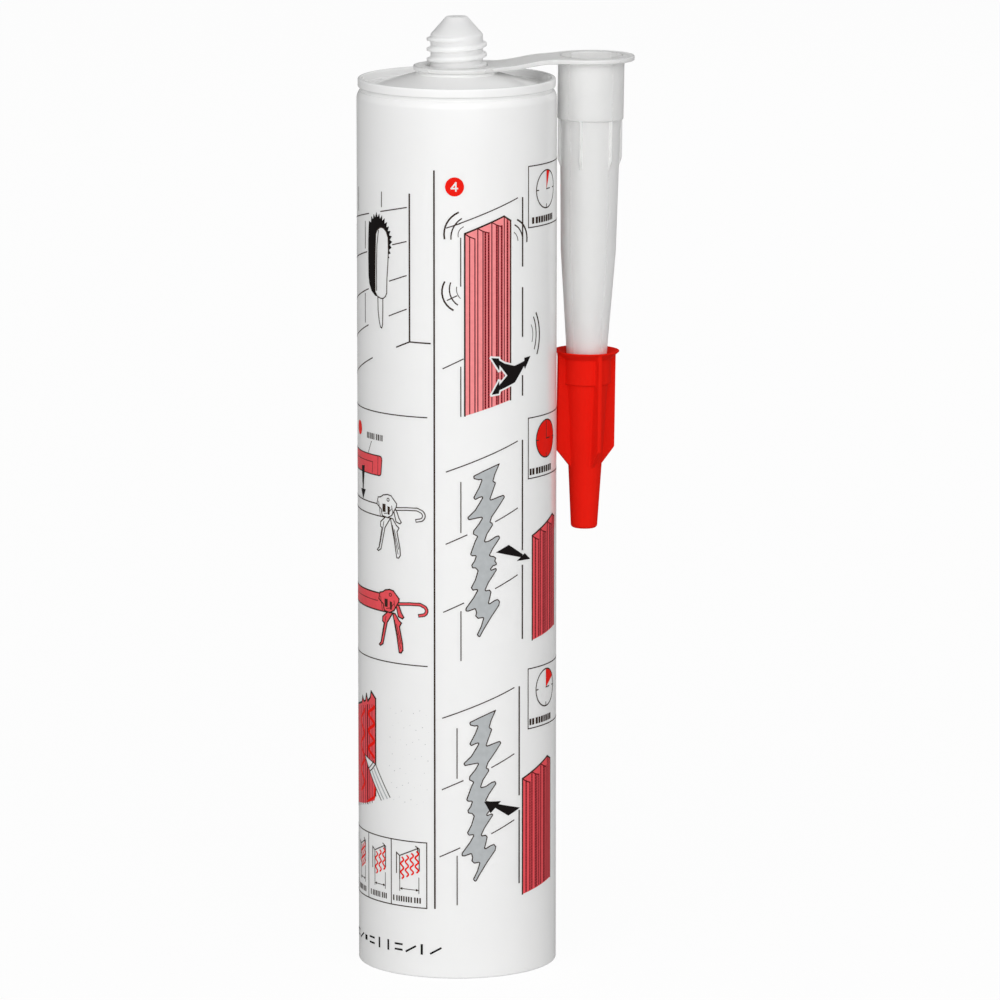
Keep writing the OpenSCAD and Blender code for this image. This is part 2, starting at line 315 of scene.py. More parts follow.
def material(name, colour, roughness, bump_scale, bump_depth, mottle=0.03, mottle_scale=60.0,
             subsurface=0.0, depth=0.001, tint=(1.0, 1.0, 1.0), specular=0.5, clear=0.0, index=1.5):
    """Moulded plastic: a faint mottle in the colour, a grain in the gloss and a fine orange-peel bump."""
    mat = bpy.data.materials.new(name)
    mat.use_nodes = True
    nodes = mat.node_tree.nodes
    shader = set_inputs(
        nodes["Principled BSDF"], Roughness=roughness, Specular_IOR_Level=specular, IOR=index,
        Transmission_Weight=clear, Subsurface_Weight=subsurface, Subsurface_Scale=depth,
        Subsurface_Radius=tint)
    place = nodes.new("ShaderNodeTexCoord")
    cloud = set_inputs(nodes.new("ShaderNodeTexNoise"), Scale=mottle_scale, Detail=3.0)
    join(place, "Object", cloud, "Vector")
    ramp = nodes.new("ShaderNodeValToRGB")
    for stop, position, level in zip(ramp.color_ramp.elements, MOTTLE_RANGE, (1 - mottle, 1 + mottle)):
        stop.position = position
        stop.color = tuple(min(1.0, c * level) for c in colour) + (1.0,)
    join(cloud, "Fac", ramp, "Fac")
    join(ramp, "Color", shader, "Base Color")
    grain = set_inputs(nodes.new("ShaderNodeTexNoise"), Scale=bump_scale, Detail=2.0)
    join(place, "Object", grain, "Vector")
    gloss = set_inputs(nodes.new("ShaderNodeMapRange"), To_Min=roughness * (1 - GLOSS_SPREAD),
                       To_Max=roughness * (1 + GLOSS_SPREAD))
    join(grain, "Fac", gloss, "Value")
    join(gloss, "Result", shader, "Roughness")
    bump = set_inputs(nodes.new("ShaderNodeBump"), Strength=1.0, Distance=bump_depth)
    join(grain, "Fac", bump, "Height")
    join(bump, "Normal", shader, "Normal")
    return mat


white = material("white_moulding", (0.90, 0.90, 0.895), 0.16, 900.0, 0.000002, mottle=0.008,
                 subsurface=0.3, depth=0.002)
# the neck is the same plastic as the barrel; its lighter colour is painted light, lifting the shade between
# its threads and under the ring
lightened_neck = material("neck_painted_light", (0.985, 0.985, 0.98), 0.3, 900.0, 0.000004, mottle=0.006,
                     subsurface=1.0, depth=0.0035)
natural = material("natural_moulding", (0.93, 0.93, 0.92), 0.42, 1100.0, 0.00001, mottle=0.015,
                   subsurface=0.4, depth=0.0012, tint=(1.0, 1.0, 0.97), clear=0.34)
red = material("red_moulding", (0.80, 0.014, 0.007), 0.55, 1300.0, 0.00002, mottle=0.03,
               subsurface=0.1, depth=0.0008, tint=(1.0, 0.25, 0.15), specular=0.03, index=1.15)
piston_white = material("piston_moulding", (0.80, 0.80, 0.78), 0.42, 800.0, 0.00002, mottle=0.02,
                        subsurface=0.2, depth=0.0015)
paste = material("filling_paste", (0.82, 0.79, 0.70), 0.35, 260.0, 0.0003, mottle=0.05,
                 subsurface=0.2, depth=0.002)

# barrel with its head and threaded neck
shoulder = []
sweep = math.acos((SHOULDER_EDGE_R - BARREL_R + SHOULDER_R) / SHOULDER_R)
for k in range(SHOULDER_STEPS + 1):
    a = sweep * (SHOULDER_STEPS - k) / SHOULDER_STEPS
    shoulder.append((BARREL_R - SHOULDER_R + SHOULDER_R * math.cos(a),
                     SHOULDER_Z + SHOULDER_R * math.sin(a), 0))
barrel_path = rounded([
    (0, NECK_Z, 0), (TIP_R, NECK_Z, 0.3), (NECK_R, TIP_Z, 0.5), (NECK_R, BOSS_Z, 0.7),
    (BOSS_R, BOSS_Z, 0.35), (BOSS_R, BOSS_FOOT_Z, 0.3), (GUTTER_R, GUTTER_Z, 1.0),
    (RIM_IN_R, GUTTER_Z, 0.5), (RIM_IN_R, BARREL_L, 0.35), (RIM_R, BARREL_L, 0.4),
    (RIM_R, RIM_Z, 0.3), (GROOVE_R, RIM_Z, 0.15), (GROOVE_R, GROOVE_Z, 0.12)]
    + shoulder + [
    (BARREL_R, 0, REAR_EDGE), (BORE_R, 0, REAR_EDGE),
    (BORE_R, GUTTER_Z - HEAD_T, 0.6), (GUTTER_R, GUTTER_Z - HEAD_T, 0.5),
    (BOSS_R, BOSS_FOOT_Z - HEAD_T, 0.5), (NECK_BORE_R, BOSS_FOOT_Z - HEAD_T, 0.5),
    (NECK_BORE_R, TIP_Z, 0.4), (TIP_BORE_R, NECK_Z - TIP_T, 0.3), (0, NECK_Z - TIP_T, 0)])


def on_neck(point):
    """Whether a point (r, z) lies where the neck's thread can stand."""
    return NECK_R - 0.4 < point[0] < NECK_R + 1.2 and BOSS_Z < point[1] < TIP_Z + 0.5


def neck_thread(r, z, a):
    if not on_neck((r, z)):
        return 0.0
    return THREAD_H * ridge(z, a, TIP_Z - THREAD_ROOT / 4, NECK_TURNS, THREAD_END)


points, faces = turned(refined(barrel_path, NECK_STEP, on_neck), BARREL_STEPS, neck_thread)
shell = weigh(mesh_piece("cartridge", points, faces, white, "cartridge"))
shell.data.materials.append(lightened_neck)
# faces above the boss take the neck's lighter colour, painted light on the same plastic as the barrel
for polygon in shell.data.polygons:
    if polygon.center.z > BOSS_Z * MM:
        polygon.material_index = 1
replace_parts(shell, "barrel")

# outlines with ribs or fins
LARGEST_ROUND = 0.45
BLEND_RISE = 0.12


def finned(radius, reach, count, first, thickness, edge, arc_points):
    """Points (x, y) round a circle with radial fins out to reach. Without reach all lie on the circle."""
    reach = max(reach, radius)
    rise = reach - radius
    foot, edge = min(FIN_FOOT, rise * LARGEST_ROUND), min(edge, rise * LARGEST_ROUND)
    half = thickness / 2
    spread = min((half + FIN_FOOT) / radius, math.pi / count / 2)
    side = []
    start = math.sqrt(max(0.0, radius ** 2 - (half + foot) ** 2))
    for k in range(4):
        a = math.pi + math.pi / 2 * k / 3
        side.append((start + foot + foot * math.cos(a), half + foot + foot * math.sin(a)))
    for k in range(3):
        a = math.pi / 2 * (1 - k / 2)
        side.append((reach - edge + edge * math.cos(a), half - edge + edge * math.sin(a)))
    shape = [(x, -y) for x, y in side] + [(reach, 0.0)] + side[::-1]
    n = len(shape)
    blend = ease(rise / BLEND_RISE)
    points = []
    for i in range(count):
        turn = math.radians(first) + 2 * math.pi * i / count
        for k, (x, y) in enumerate(shape):
            a = spread * (2 * k / (n - 1) - 1)
            x = x * blend + radius * math.cos(a) * (1 - blend)
            y = y * blend + radius * math.sin(a) * (1 - blend)
            points.append((
                x * math.cos(turn) - y * math.sin(turn), x * math.sin(turn) + y * math.cos(turn)))
        gap = 2 * math.pi / count - 2 * spread
        for k in range(1, arc_points + 1):
            a = turn + spread + gap * k / (arc_points + 1)
            points.append((radius * math.cos(a), radius * math.sin(a)))
    return points


def blade_reach(depth, foot_r, edge_r, top, bottom, slope, corner):
    """Outer radius of a rib or fin at a depth: straight down, round the corner, then along its slope."""
    if not top <= depth <= bottom:
        return 0.0
    side = rounded([(edge_r, top, 0), (edge_r, bottom - slope, corner), (foot_r, bottom, 0)], 8)
    for (r1, d1), (r2, d2) in zip(side, side[1:]):
        if d1 <= depth <= d2:
            return r1 + (r2 - r1) * (depth - d1) / max(TINY, d2 - d1)
    return foot_r


def on_nozzle_axis(x, y, z, share=1.0):
    """Moves a point from the nozzle's own axis, with its origin on the flange, to the part's frame."""
    a = LEAN * share
    return (AXIS_GAP + x * math.cos(a) + z * math.sin(a), y, FLANGE_TOP_Z - x * math.sin(a) + z * math.cos(a))


# nozzle: ring, strap, flange, socket, ribs and taper
HALF_GAP = AXIS_GAP / 2
HALF_WAIST = WAIST_W / 2
WAIST_R = (HALF_GAP ** 2 + HALF_WAIST ** 2 - PAD_R ** 2) / (2 * (PAD_R - HALF_WAIST))
TOUCH = math.atan2(HALF_WAIST + WAIST_R, HALF_GAP)
FLANGE_UNDER_R = 9.0
FLANGE_MOUTH_R = SOCKET_R + 0.3
NOZZLE_ARC = 19
NOZZLE_RIBS = (RIB_COUNT, RIB_TURN, RIB_T, RIB_EDGE, NOZZLE_ARC)
PAD_STEPS = 64
WAIST_STEPS = 28
RING_STEPS = 96
EDGE_STEPS = 4
BORE_EDGE_STEPS = 3
RIB_STEP = 0.18
SOCKET_STEP = 0.12
SOCKET_THREAD_LOW, SOCKET_THREAD_HIGH = -12.2, -0.4
SAME_POINT = 0.01
LEAN_IN = 1.5
# rows of points across the strap let it bend smoothly where it rises
ROW_STEP = 0.78
ROW_MARGIN = 0.9
ROW_HALF = 4

points, faces = [], []


def add_ring(ring):
    numbers = list(range(len(points), len(points) + len(ring)))
    points.extend(ring)
    return numbers


def strap_height(x):
    return RING_Z + STRAP_T + RISE * ease((x - RISE_START) / (RISE_END - RISE_START))


def strap_outline(inset):
    """Outline of ring, strap and flange seen from above, moved inwards by inset."""
    pad, waist, side = PAD_R - inset, WAIST_R + inset, HALF_WAIST + WAIST_R
    round_pad, round_waist = 2 * math.pi - 2 * TOUCH, 2 * TOUCH - math.pi
    arcs = ((0.0, 0.0, pad, TOUCH, round_pad, PAD_STEPS),
            (HALF_GAP, -side, waist, math.pi - TOUCH, round_waist, WAIST_STEPS),
            (AXIS_GAP, 0.0, pad, math.pi + TOUCH, round_pad, PAD_STEPS),
            (HALF_GAP, side, waist, -TOUCH, round_waist, WAIST_STEPS))
    return [(x + r * math.cos(first + sweep * k / steps), y + r * math.sin(first + sweep * k / steps))
            for x, y, r, first, sweep, steps in arcs for k in range(steps)]


def plate(outer, holes, upward):
    """Triangles that fill an outline round its holes. All are lists of point numbers."""
    flat, names, loops = [], [], []
    for loop in [outer] + holes:
        loops.append(list(range(len(flat), len(flat) + len(loop))))
        flat += [Vector(points[i][:2]) for i in loop]
        names += loop
    extra = []
    x = RISE_START
    while x < RISE_END + 0.1:
        wide = HALF_WAIST + WAIST_R - math.sqrt(WAIST_R ** 2 - (x - HALF_GAP) ** 2) - ROW_MARGIN
        for k in range(2 * ROW_HALF + 1):
            extra.append(Vector((x, wide * (k / ROW_HALF - 1))))
        x += ROW_STEP
    start = len(flat)
    found = delaunay_2d_cdt(flat + extra, [], loops, 0, 1e-5)
    where, triangles, sources, kept = found[0], found[2], found[3], found[5]
    numbers = {}
    for i, source in enumerate(sources):
        first = min(source) if source else None
        if first is not None and first < start:
            numbers[i] = names[first]
    for triangle, inside in zip(triangles, kept):
        if set(inside) != {0}:
            continue
        corners = []
        for i in triangle:
            if i not in numbers:
                x, y = where[i]
                numbers[i] = len(points)
                points.append((x, y, strap_height(x) - (0 if upward else STRAP_T)))
            corners.append(numbers[i])
        faces.append(tuple(corners if upward else corners[::-1]))


def edge_steps(radius, count):
    """Side, inset and drop of each ring on a plate's rounded edge, first at its top, then underneath."""
    for upward in (True, False):
        for k in range(count + 1):
            a = math.pi / 2 * (k if upward else count - k) / count
            yield upward, radius * (1 - math.sin(a)), radius * (1 - math.cos(a))


edge_rings = []
for upward, inset, drop in edge_steps(PAD_EDGE, EDGE_STEPS):
    edge_rings.append(add_ring([
        (x, y, strap_height(x) - (drop if upward else STRAP_T - drop)) for x, y in strap_outline(inset)]))
stitch(edge_rings, faces)
bore_rings = []
for upward, inset, drop in edge_steps(BORE_EDGE, BORE_EDGE_STEPS):
    z = RING_Z + (STRAP_T - drop if upward else drop)
    bore_rings.append(add_ring(circle(RING_BORE_R + inset, z, RING_STEPS)))
stitch(bore_rings, faces)

outside = rounded([
    (FLANGE_UNDER_R, -STRAP_T, 0), (SOCKET_OUT_R, -STRAP_T, 0.5), (SOCKET_OUT_R, -SOCKET_L, 0.25),
    (BODY_R, -SOCKET_L, 0.25), (BODY_LOW_R, -RIB_END, 20), (TAPER_R, -TAPER_DEPTH, 150),
    (NOZZLE_TIP_R, -NOZZLE_L, 0.3), (NOZZLE_TIP_R - NOZZLE_WALL, -NOZZLE_L, 0)])
outside = refined(outside, RIB_STEP, lambda p: -RIB_END - 0.1 < p[1] < -RIB_END + RIB_SLOPE + 1.2)
inside = rounded([
    (NOZZLE_TIP_R - NOZZLE_WALL, -NOZZLE_L, 0), (TAPER_R - NOZZLE_WALL, -TAPER_DEPTH, 100),
    (BODY_LOW_R - NOZZLE_WALL, -RIB_END, 20), (BODY_R - NOZZLE_WALL, -SOCKET_BOTTOM - 1.25, 0.4),
    (SOCKET_R, -SOCKET_BOTTOM, 0.4), (SOCKET_R, 0, 0.3), (FLANGE_MOUTH_R, 0, 0)])


def in_socket(point):
    """Whether a point (r, z) lies on the socket's wall, where its thread can stand."""
    return point[0] > SOCKET_R - SAME_POINT and SOCKET_THREAD_LOW < point[1] < SOCKET_THREAD_HIGH


tube_rings = []
for r, z in outside:
    reach = blade_reach(-z, BODY_LOW_R, RIB_R, SOCKET_L, RIB_END, RIB_SLOPE, RIB_CORNER)
    share = ease((-z - STRAP_T) / LEAN_IN)
    tube_rings.append(add_ring([
        on_nozzle_axis(x, y, z, share) for x, y in finned(r, reach, *NOZZLE_RIBS)]))
for r, z in refined(inside, SOCKET_STEP, in_socket)[1:]:
    ring = []
    for x, y in finned(r, 0, *NOZZLE_RIBS):
        a = math.atan2(y, x)
        if in_socket((r, z)):
            scale = 1 - THREAD_H * ridge(z, a, -SOCKET_L / 4, SOCKET_TURNS, 0.0) / r
            x, y = x * scale, y * scale
        ring.append(on_nozzle_axis(x, y, z, ease(-z / LEAN_IN)))
    tube_rings.append(add_ring(ring))
stitch(tube_rings, faces)
plate(edge_rings[0], [tube_rings[-1], bore_rings[0]], True)
plate(edge_rings[-1], [tube_rings[0], bore_rings[-1]], False)
nozzle = mesh_piece("nozzle_moulding", points, faces, natural, "nozzle")
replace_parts(weigh(nozzle), "nozzle")

# cap with its fins
TAPER = (TAPER_R - NOZZLE_TIP_R) / (NOZZLE_L - TAPER_DEPTH)
CAP_MOUTH_R = NOZZLE_TIP_R + TAPER * CAP_COVER + CAP_GAP
CAP_COLLAR_R = CAP_MOUTH_R + CAP_COLLAR_WALL
CAP_BODY_R = NOZZLE_TIP_R + TAPER * (CAP_COVER - CAP_COLLAR_L) + CAP_GAP + CAP_WALL
CAP_TAPER = (CAP_BODY_R - CAP_END_R) / (CAP_L - CAP_COLLAR_L)
CAP_HOLLOW_L = CAP_L - CAP_END_T
CAP_TIP_R = NOZZLE_TIP_R + CAP_GAP
CAP_HOLLOW_R = CAP_TIP_R - CAP_TAPER * (CAP_HOLLOW_L - CAP_COVER)
FIN_FOOT_R = CAP_END_R + CAP_TAPER * (CAP_L - FIN_DEPTH)
CAP_ARC = 31
CAP_FINS = (FIN_COUNT, FIN_TURN, FIN_T, FIN_EDGE, CAP_ARC)
FIN_STEP = 0.2

cap_path = rounded([
    (CAP_POLE_R, -CAP_L, 0), (CAP_END_R, -CAP_L, CAP_EDGE), (CAP_BODY_R, -CAP_COLLAR_L, 0.2),
    (CAP_COLLAR_R, -CAP_COLLAR_L, 0.25), (CAP_COLLAR_R, -CAP_FLARE_L - 0.3, 0.4),
    (CAP_FLARE_R, -CAP_FLARE_L, 0.3), (CAP_FLANGE_R, -CAP_LIP_T, CAP_LIP_EDGE),
    (CAP_FLANGE_R, 0, CAP_LIP_EDGE), (FUNNEL_R, 0, 0.1), (CAP_MOUTH_R, -FUNNEL_L, 0.3),
    (CAP_TIP_R, -CAP_COVER, 2), (CAP_HOLLOW_R, -CAP_HOLLOW_L, 0.4), (CAP_POLE_R, -CAP_HOLLOW_L, 0)])
cap_path = refined(
    cap_path, FIN_STEP, lambda p: p[0] > 4 and -FIN_DEPTH - 0.3 < p[1] < -FIN_DEPTH + FIN_SLOPE + 1.6)
points, faces, rings = [], [], []
outer = True
for r, z in cap_path:
    outer = outer and z < -SAME_POINT
    reach = blade_reach(-z, FIN_FOOT_R, FIN_R, CAP_LIP_T, FIN_DEPTH, FIN_SLOPE, FIN_CORNER) if outer else 0
    rings.append(add_ring([
        on_nozzle_axis(x, y, z - CAP_DEPTH) for x, y in finned(r, reach, *CAP_FINS)]))
first = add_ring([on_nozzle_axis(0, 0, -CAP_L - CAP_DEPTH)])
last = add_ring([on_nozzle_axis(0, 0, -CAP_HOLLOW_L - CAP_DEPTH)])
stitch([first] + rings + [last], faces)
cap = mesh_piece("grip_cap", points, faces, red, "cap")
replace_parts(weigh(cap), "nozzle_cap")

# piston and filling
filling_path = rounded([
    (0, PISTON_Z + FILL_GAP, 0), (BORE_R - FILL_GAP, PISTON_Z + FILL_GAP, 0.6),
    (BORE_R - FILL_GAP, GUTTER_Z - HEAD_T - FILL_GAP, 0.6), (GUTTER_R, GUTTER_Z - HEAD_T - FILL_GAP, 0.5),
    (BOSS_R, BOSS_FOOT_Z - HEAD_T - FILL_GAP, 0.5),
    (NECK_BORE_R - FILL_GAP, BOSS_FOOT_Z - HEAD_T - FILL_GAP, 0.3),
    (NECK_BORE_R - FILL_GAP, TIP_Z - FILL_GAP, 0.5), (0, TIP_Z - FILL_GAP, 0)])
points, faces = turned(filling_path, FILL_STEPS)
filling = mesh_piece("filling", points, faces, paste, "cartridge")
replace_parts(filling, "sealant")
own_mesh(filling)
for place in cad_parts["piston"].material_slots:
    place.material = piston_white

# print: shapes on the barrel unrolled
# u runs along the arc in millimetres from the line that faces the camera, and z runs up.
# Later shapes cover earlier ones. BARE shows the barrel.
BLACK, LINE, RED, ROSE, PINK, GREY, WINE, DEEP, BARE = range(9)
INKS = (
    ("ink_black", (0.011, 0.009, 0.009)), ("ink_line", (0.040, 0.025, 0.019)),
    ("ink_red", (0.82, 0.014, 0.008)), ("ink_rose", (0.80, 0.090, 0.105)),
    ("ink_pink", (0.87, 0.265, 0.275)), ("ink_grey", (0.445, 0.465, 0.475)),
    ("ink_wine", (0.40, 0.045, 0.055)), ("ink_deep", (0.085, 0.008, 0.010)))
THIN, FINE, BOLD, RULE = 0.27, 0.18, 0.42, 0.42
END_SHARE = 0.8
shapes = []


def fill(points, ink):
    area = sum(a[0] * b[1] - b[0] * a[1] for a, b in zip(points, points[1:] + points[:1]))
    shapes.append((list(points) if area > 0 else list(points)[::-1], ink))


def stroke(points, width=THIN, ink=LINE):
    """Line of straight pieces whose ends run a little past each other."""
    for (x1, z1), (x2, z2) in zip(points, points[1:]):
        long = math.hypot(x2 - x1, z2 - z1)
        if long < TINY:
            continue
        dx, dz = (x2 - x1) / long * width / 2, (z2 - z1) / long * width / 2
        x1, z1 = x1 - dx * END_SHARE, z1 - dz * END_SHARE
        x2, z2 = x2 + dx * END_SHARE, z2 + dz * END_SHARE
        fill([(x1 + dz, z1 - dx), (x2 + dz, z2 - dx), (x2 - dz, z2 + dx), (x1 - dz, z1 + dx)], ink)


def outlined(points, ink, width=THIN, edge=LINE):
    fill(points, ink)
    stroke(list(points) + [points[0]], width, edge)


def round_points(u, z, r, start=0.0, end=360.0, steps=28):
    """Points of an arc. Angles run clockwise from the top, as on a dial."""
    count = steps if end - start == 360 else steps + 1
    turns = [math.radians(start + (end - start) * k / steps) for k in range(count)]
    return [(u + r * math.sin(turn), z + r * math.cos(turn)) for turn in turns]


def arc_through(a, b, c, steps=8):
    """Points of the circle's arc that runs through three points."""
    (x1, y1), (x2, y2), (x3, y3) = a, b, c
    twice = 2 * (x1 * (y2 - y3) + x2 * (y3 - y1) + x3 * (y1 - y2))
    p, q, r = x1 * x1 + y1 * y1, x2 * x2 + y2 * y2, x3 * x3 + y3 * y3
    x = (p * (y2 - y3) + q * (y3 - y1) + r * (y1 - y2)) / twice
    y = (p * (x3 - x2) + q * (x1 - x3) + r * (x2 - x1)) / twice
    start = Vector((x1 - x, y1 - y))
    sweep = start.angle_signed(Vector((x3 - x, y3 - y)))
    centre = Vector((x, y))
    return [tuple(centre + Matrix.Rotation(-sweep * k / steps, 2) @ start) for k in range(steps + 1)]


def moved(points, du, dz):
    return [(u + du, z + dz) for u, z in points]


def bars(u, z, lengths, height, ink=LINE, gap=0.45):
    """Row of plain blocks. A length of 0 leaves a wider gap."""
    for long in lengths:
        if long:
            fill([(u, z), (u + long, z), (u + long, z + height), (u, z + height)], ink)
        u += long + gap


def frame_box(u1, z1, u2, z2):
    stroke([(u1, z1), (u2, z1), (u2, z2), (u1, z2), (u1, z1)])


# each digit as a line inside a square from -1 to 1
DIGITS = {
    1: [(-0.25, 0.6), (0.15, 1.0), (0.15, -1.0)],
    3: [(-0.5, 0.75), (0.0, 1.0), (0.5, 0.65), (0.35, 0.15), (0.0, 0.05), (0.45, -0.2), (0.5, -0.7),
        (0.0, -1.0), (-0.55, -0.75)],
    4: [(0.35, -1.0), (0.35, 1.0), (-0.7, -0.4), (0.75, -0.4)]}
DISC_R = 2.35
DIGIT_WIDE, DIGIT_TALL, DIGIT_LINE, DIGIT_LEFT = 0.45, 0.43, 0.165, 0.05


def numbered_disc(u, z, digit):
    fill(round_points(u, z, DISC_R), RED)
    stroke([(u + (x - DIGIT_LEFT) * DISC_R * DIGIT_WIDE, z + y * DISC_R * DIGIT_TALL)
            for x, y in DIGITS[digit]], DIGIT_LINE * DISC_R, BARE)


def dial(u, z, outer, inner, sweep, steps, sector_steps):
    """Round dial with an edge, whose red sector shows the time."""
    fill(round_points(u, z, outer, steps=steps), LINE)
    fill(round_points(u, z, inner, steps=steps), RED if sweep == 360 else BARE)
    if sweep < 360:
        fill([(u, z)] + round_points(u, z, inner, 0, sweep, sector_steps), RED)


DIAL_R = 4.68
DIAL_U = 7.7
DIAL_BOX_WIDE, DIAL_BOX_TALL = 21.0, 15.1
DIAL_EDGE = THIN * 0.6
DIAL_HAND = 1.9
DIAL_MARK = 0.8
DIAL_BLOCKS = (0.8, 0.0, 0.9, 0.8, 0.9, 0.7, 0.9, 0.8, 0.9)


def dial_box(u, z, sweep, dial_z, side, blocks):
    """Framed timer: a dial with two hands and three marks, and a plain row of blocks under it."""
    frame_box(u, z, u + DIAL_BOX_WIDE, z + DIAL_BOX_TALL)
    cu, cz = u + DIAL_U, z + dial_z
    dial(cu, cz, DIAL_R + DIAL_EDGE, DIAL_R - DIAL_EDGE, sweep, 40, 10)
    stroke([(cu, cz + DIAL_R * (0.9 if sweep == 360 else 0.0)), (cu, cz), (cu + DIAL_HAND, cz)])
    for a in (90, 180, 270):
        x, y = DIAL_R * math.sin(math.radians(a)), DIAL_R * math.cos(math.radians(a))
        stroke([(cu + x * DIAL_MARK, cz + y * DIAL_MARK), (cu + x, cz + y)])
    bars(u + side, z + 0.8, blocks, 1.6, gap=0.3)


# each rib line: share of the panel's width, start below its top edge, and whether it is shaded
RIB_LINES = ((0.10, 1.2, 0), (0.21, 2.3, 0), (0.27, 0.1, 0), (0.38, 1.4, 0), (0.43, 1.8, 1),
             (0.50, 2.3, 1), (0.57, 0.1, 0), (0.68, 1.5, 1), (0.72, 1.7, 0), (0.79, 2.1, 1),
             (0.85, 0.1, 0), (0.925, 0.4, 1))
RIB_STEPS = ((0.02, 0.10, 0.21), (0.29, 0.38, 0.50), (0.59, 0.68, 0.79))
PEAK = 0.845
SHADE_LINE, SHADE_STEP = 0.55, 0.7


def ribbed_panel(corners, ink, peak_rise, dark=False):
    """Ribbed strip seen at a slant, from its lower left corner counterclockwise to its upper left one."""
    (u1, z1), (u2, z2), (u3, z3), (u4, z4) = corners
    peak = (u4 + (u3 - u4) * PEAK, z4 + peak_rise)

    def below_top(share, drop):
        over = max(0.0, share - PEAK) / (1 - PEAK)
        rise = peak_rise * min(1.0, share / PEAK) + (z3 - peak[1]) * over
        return u4 + (u3 - u4) * share, z4 + rise - drop

    fill([(u1, z1), (u2, z2), (u3, z3), peak, (u4, z4)], ink)
    for share, drop, shaded in RIB_LINES:
        u, low = u1 + (u2 - u1) * share, z1 + (z2 - z1) * share
        high = below_top(share, drop)
        if shaded or dark:
            stroke([(u, low + 0.3), high], SHADE_LINE, WINE)
            for k in range(int((high[1] - low) / SHADE_STEP)):
                foot = low + 0.4 + SHADE_STEP * k
                stroke([(u, foot), (u, foot + 0.3)], THIN, DEEP)
        else:
            stroke([(u, low + 0.15), high], THIN, DEEP)
    for shares in RIB_STEPS:
        stroke([below_top(share, drop) for share, drop in zip(shares, (0.3, 1.3, 2.3))], THIN, DEEP)
    stroke([(u2, z2), (u3, z3), peak, (u4, z4), (u1, z1)], BOLD)


BEAD = ((2.5, 0.3), (0.8, -0.3), (-1.7, -1.3), (-4.1, -2.4), (-4.0, -3.0), (-2.9, -3.3), (-1.9, -3.2),
        (-2.7, -5.2), (-4.1, -7.8), (-3.7, -8.2), (-2.6, -7.7), (-1.6, -7.5), (-2.2, -8.5), (-3.7, -10.9),
        (-5.6, -12.7), (-5.3, -13.2), (-3.7, -12.9), (-1.7, -12.6), (-2.7, -14.3), (-4.1, -16.0),
        (-4.2, -16.8), (-3.1, -17.4), (-3.7, -18.6), (-4.6, -21.0), (-4.9, -21.9), (-4.5, -22.2),
        (-3.4, -22.2), (-3.9, -23.6), (-4.6, -24.6), (-4.4, -25.2), (-3.6, -25.3), (-3.0, -26.0),
        (-3.7, -28.3), (-4.7, -30.2), (-4.3, -30.8), (-2.9, -30.6), (-4.1, -32.7), (-6.0, -35.3),
        (-6.1, -36.0), (-5.4, -36.0), (-3.7, -35.4), (-3.4, -36.5), (-3.6, -37.3), (-3.0, -37.9),
        (-1.5, -37.7), (-2.2, -40.0), (-3.2, -42.0), (-2.7, -42.7), (-1.7, -40.9), (0.3, -37.8),
        (2.4, -35.0), (2.6, -34.1), (2.1, -33.5), (1.3, -33.7), (-0.5, -34.7), (0.0, -32.8), (0.3, -31.5),
        (-0.1, -31.0), (-1.4, -31.2), (-0.4, -29.1), (1.8, -26.0), (1.5, -25.7), (-0.3, -26.3),
        (0.8, -25.0), (1.9, -24.7), (1.3, -23.8), (1.6, -23.1), (1.0, -22.7), (-0.2, -22.4), (0.8, -20.6),
        (2.6, -18.2), (2.4, -17.6), (1.5, -17.8), (-0.1, -18.7), (-1.5, -19.0), (-0.8, -17.0),
        (0.7, -14.8), (0.6, -14.3), (0.0, -14.1), (0.5, -12.7), (2.4, -10.2), (4.0, -8.0), (3.6, -7.6),
        (2.4, -7.9), (0.8, -8.4), (-0.1, -8.6), (0.5, -7.0), (1.3, -4.9), (1.5, -4.3), (0.8, -3.9),
        (1.3, -2.2))


def bead(u, z):
    """Jagged bead of compound squeezed on to a wall."""
    corners = [(u + x, z + y, 0.25) for x, y in BEAD]
    outlined(rounded(corners, 2), GREY, THIN)


def arrow(points, head):
    fill(points, BLACK)
    fill(head, BLACK)


def wall(du, dz):
    """Joints of a tiled wall and the edge of the corner beside it."""
    for line in (((-2.8, 127.3), (15.9, 134.1)), ((0.8, 124.7), (0.8, 112.2)), ((0.8, 92.5), (0.8, 80.2)),
                 ((-2.9, 109.3), (2.3, 111.6)), ((9.6, 114.6), (15.9, 117.4)), ((9.6, 97.9), (15.9, 100.7)),
                 ((-3.5, 92.3), (1.5, 94.6))):
        stroke(moved(line, du, dz))
    stroke(moved(((17.5, 134.1), (17.5, 106.9)), du, dz), BOLD)
    stroke(moved(((17.5, 102.9), (17.5, 84.6)), du, dz), BOLD)


WAVE_TALL, WAVE_WIDE, WAVE_TURNS, WAVE_STEPS = 5.3, 0.42, 2.5, 25


def wave(u, z):
    """Wavy line that runs down from a point."""
    stroke([(u + WAVE_WIDE * math.sin(math.tau * WAVE_TURNS * k / WAVE_STEPS), z - WAVE_TALL * k / WAVE_STEPS)
            for k in range(WAVE_STEPS + 1)], BOLD, RED)


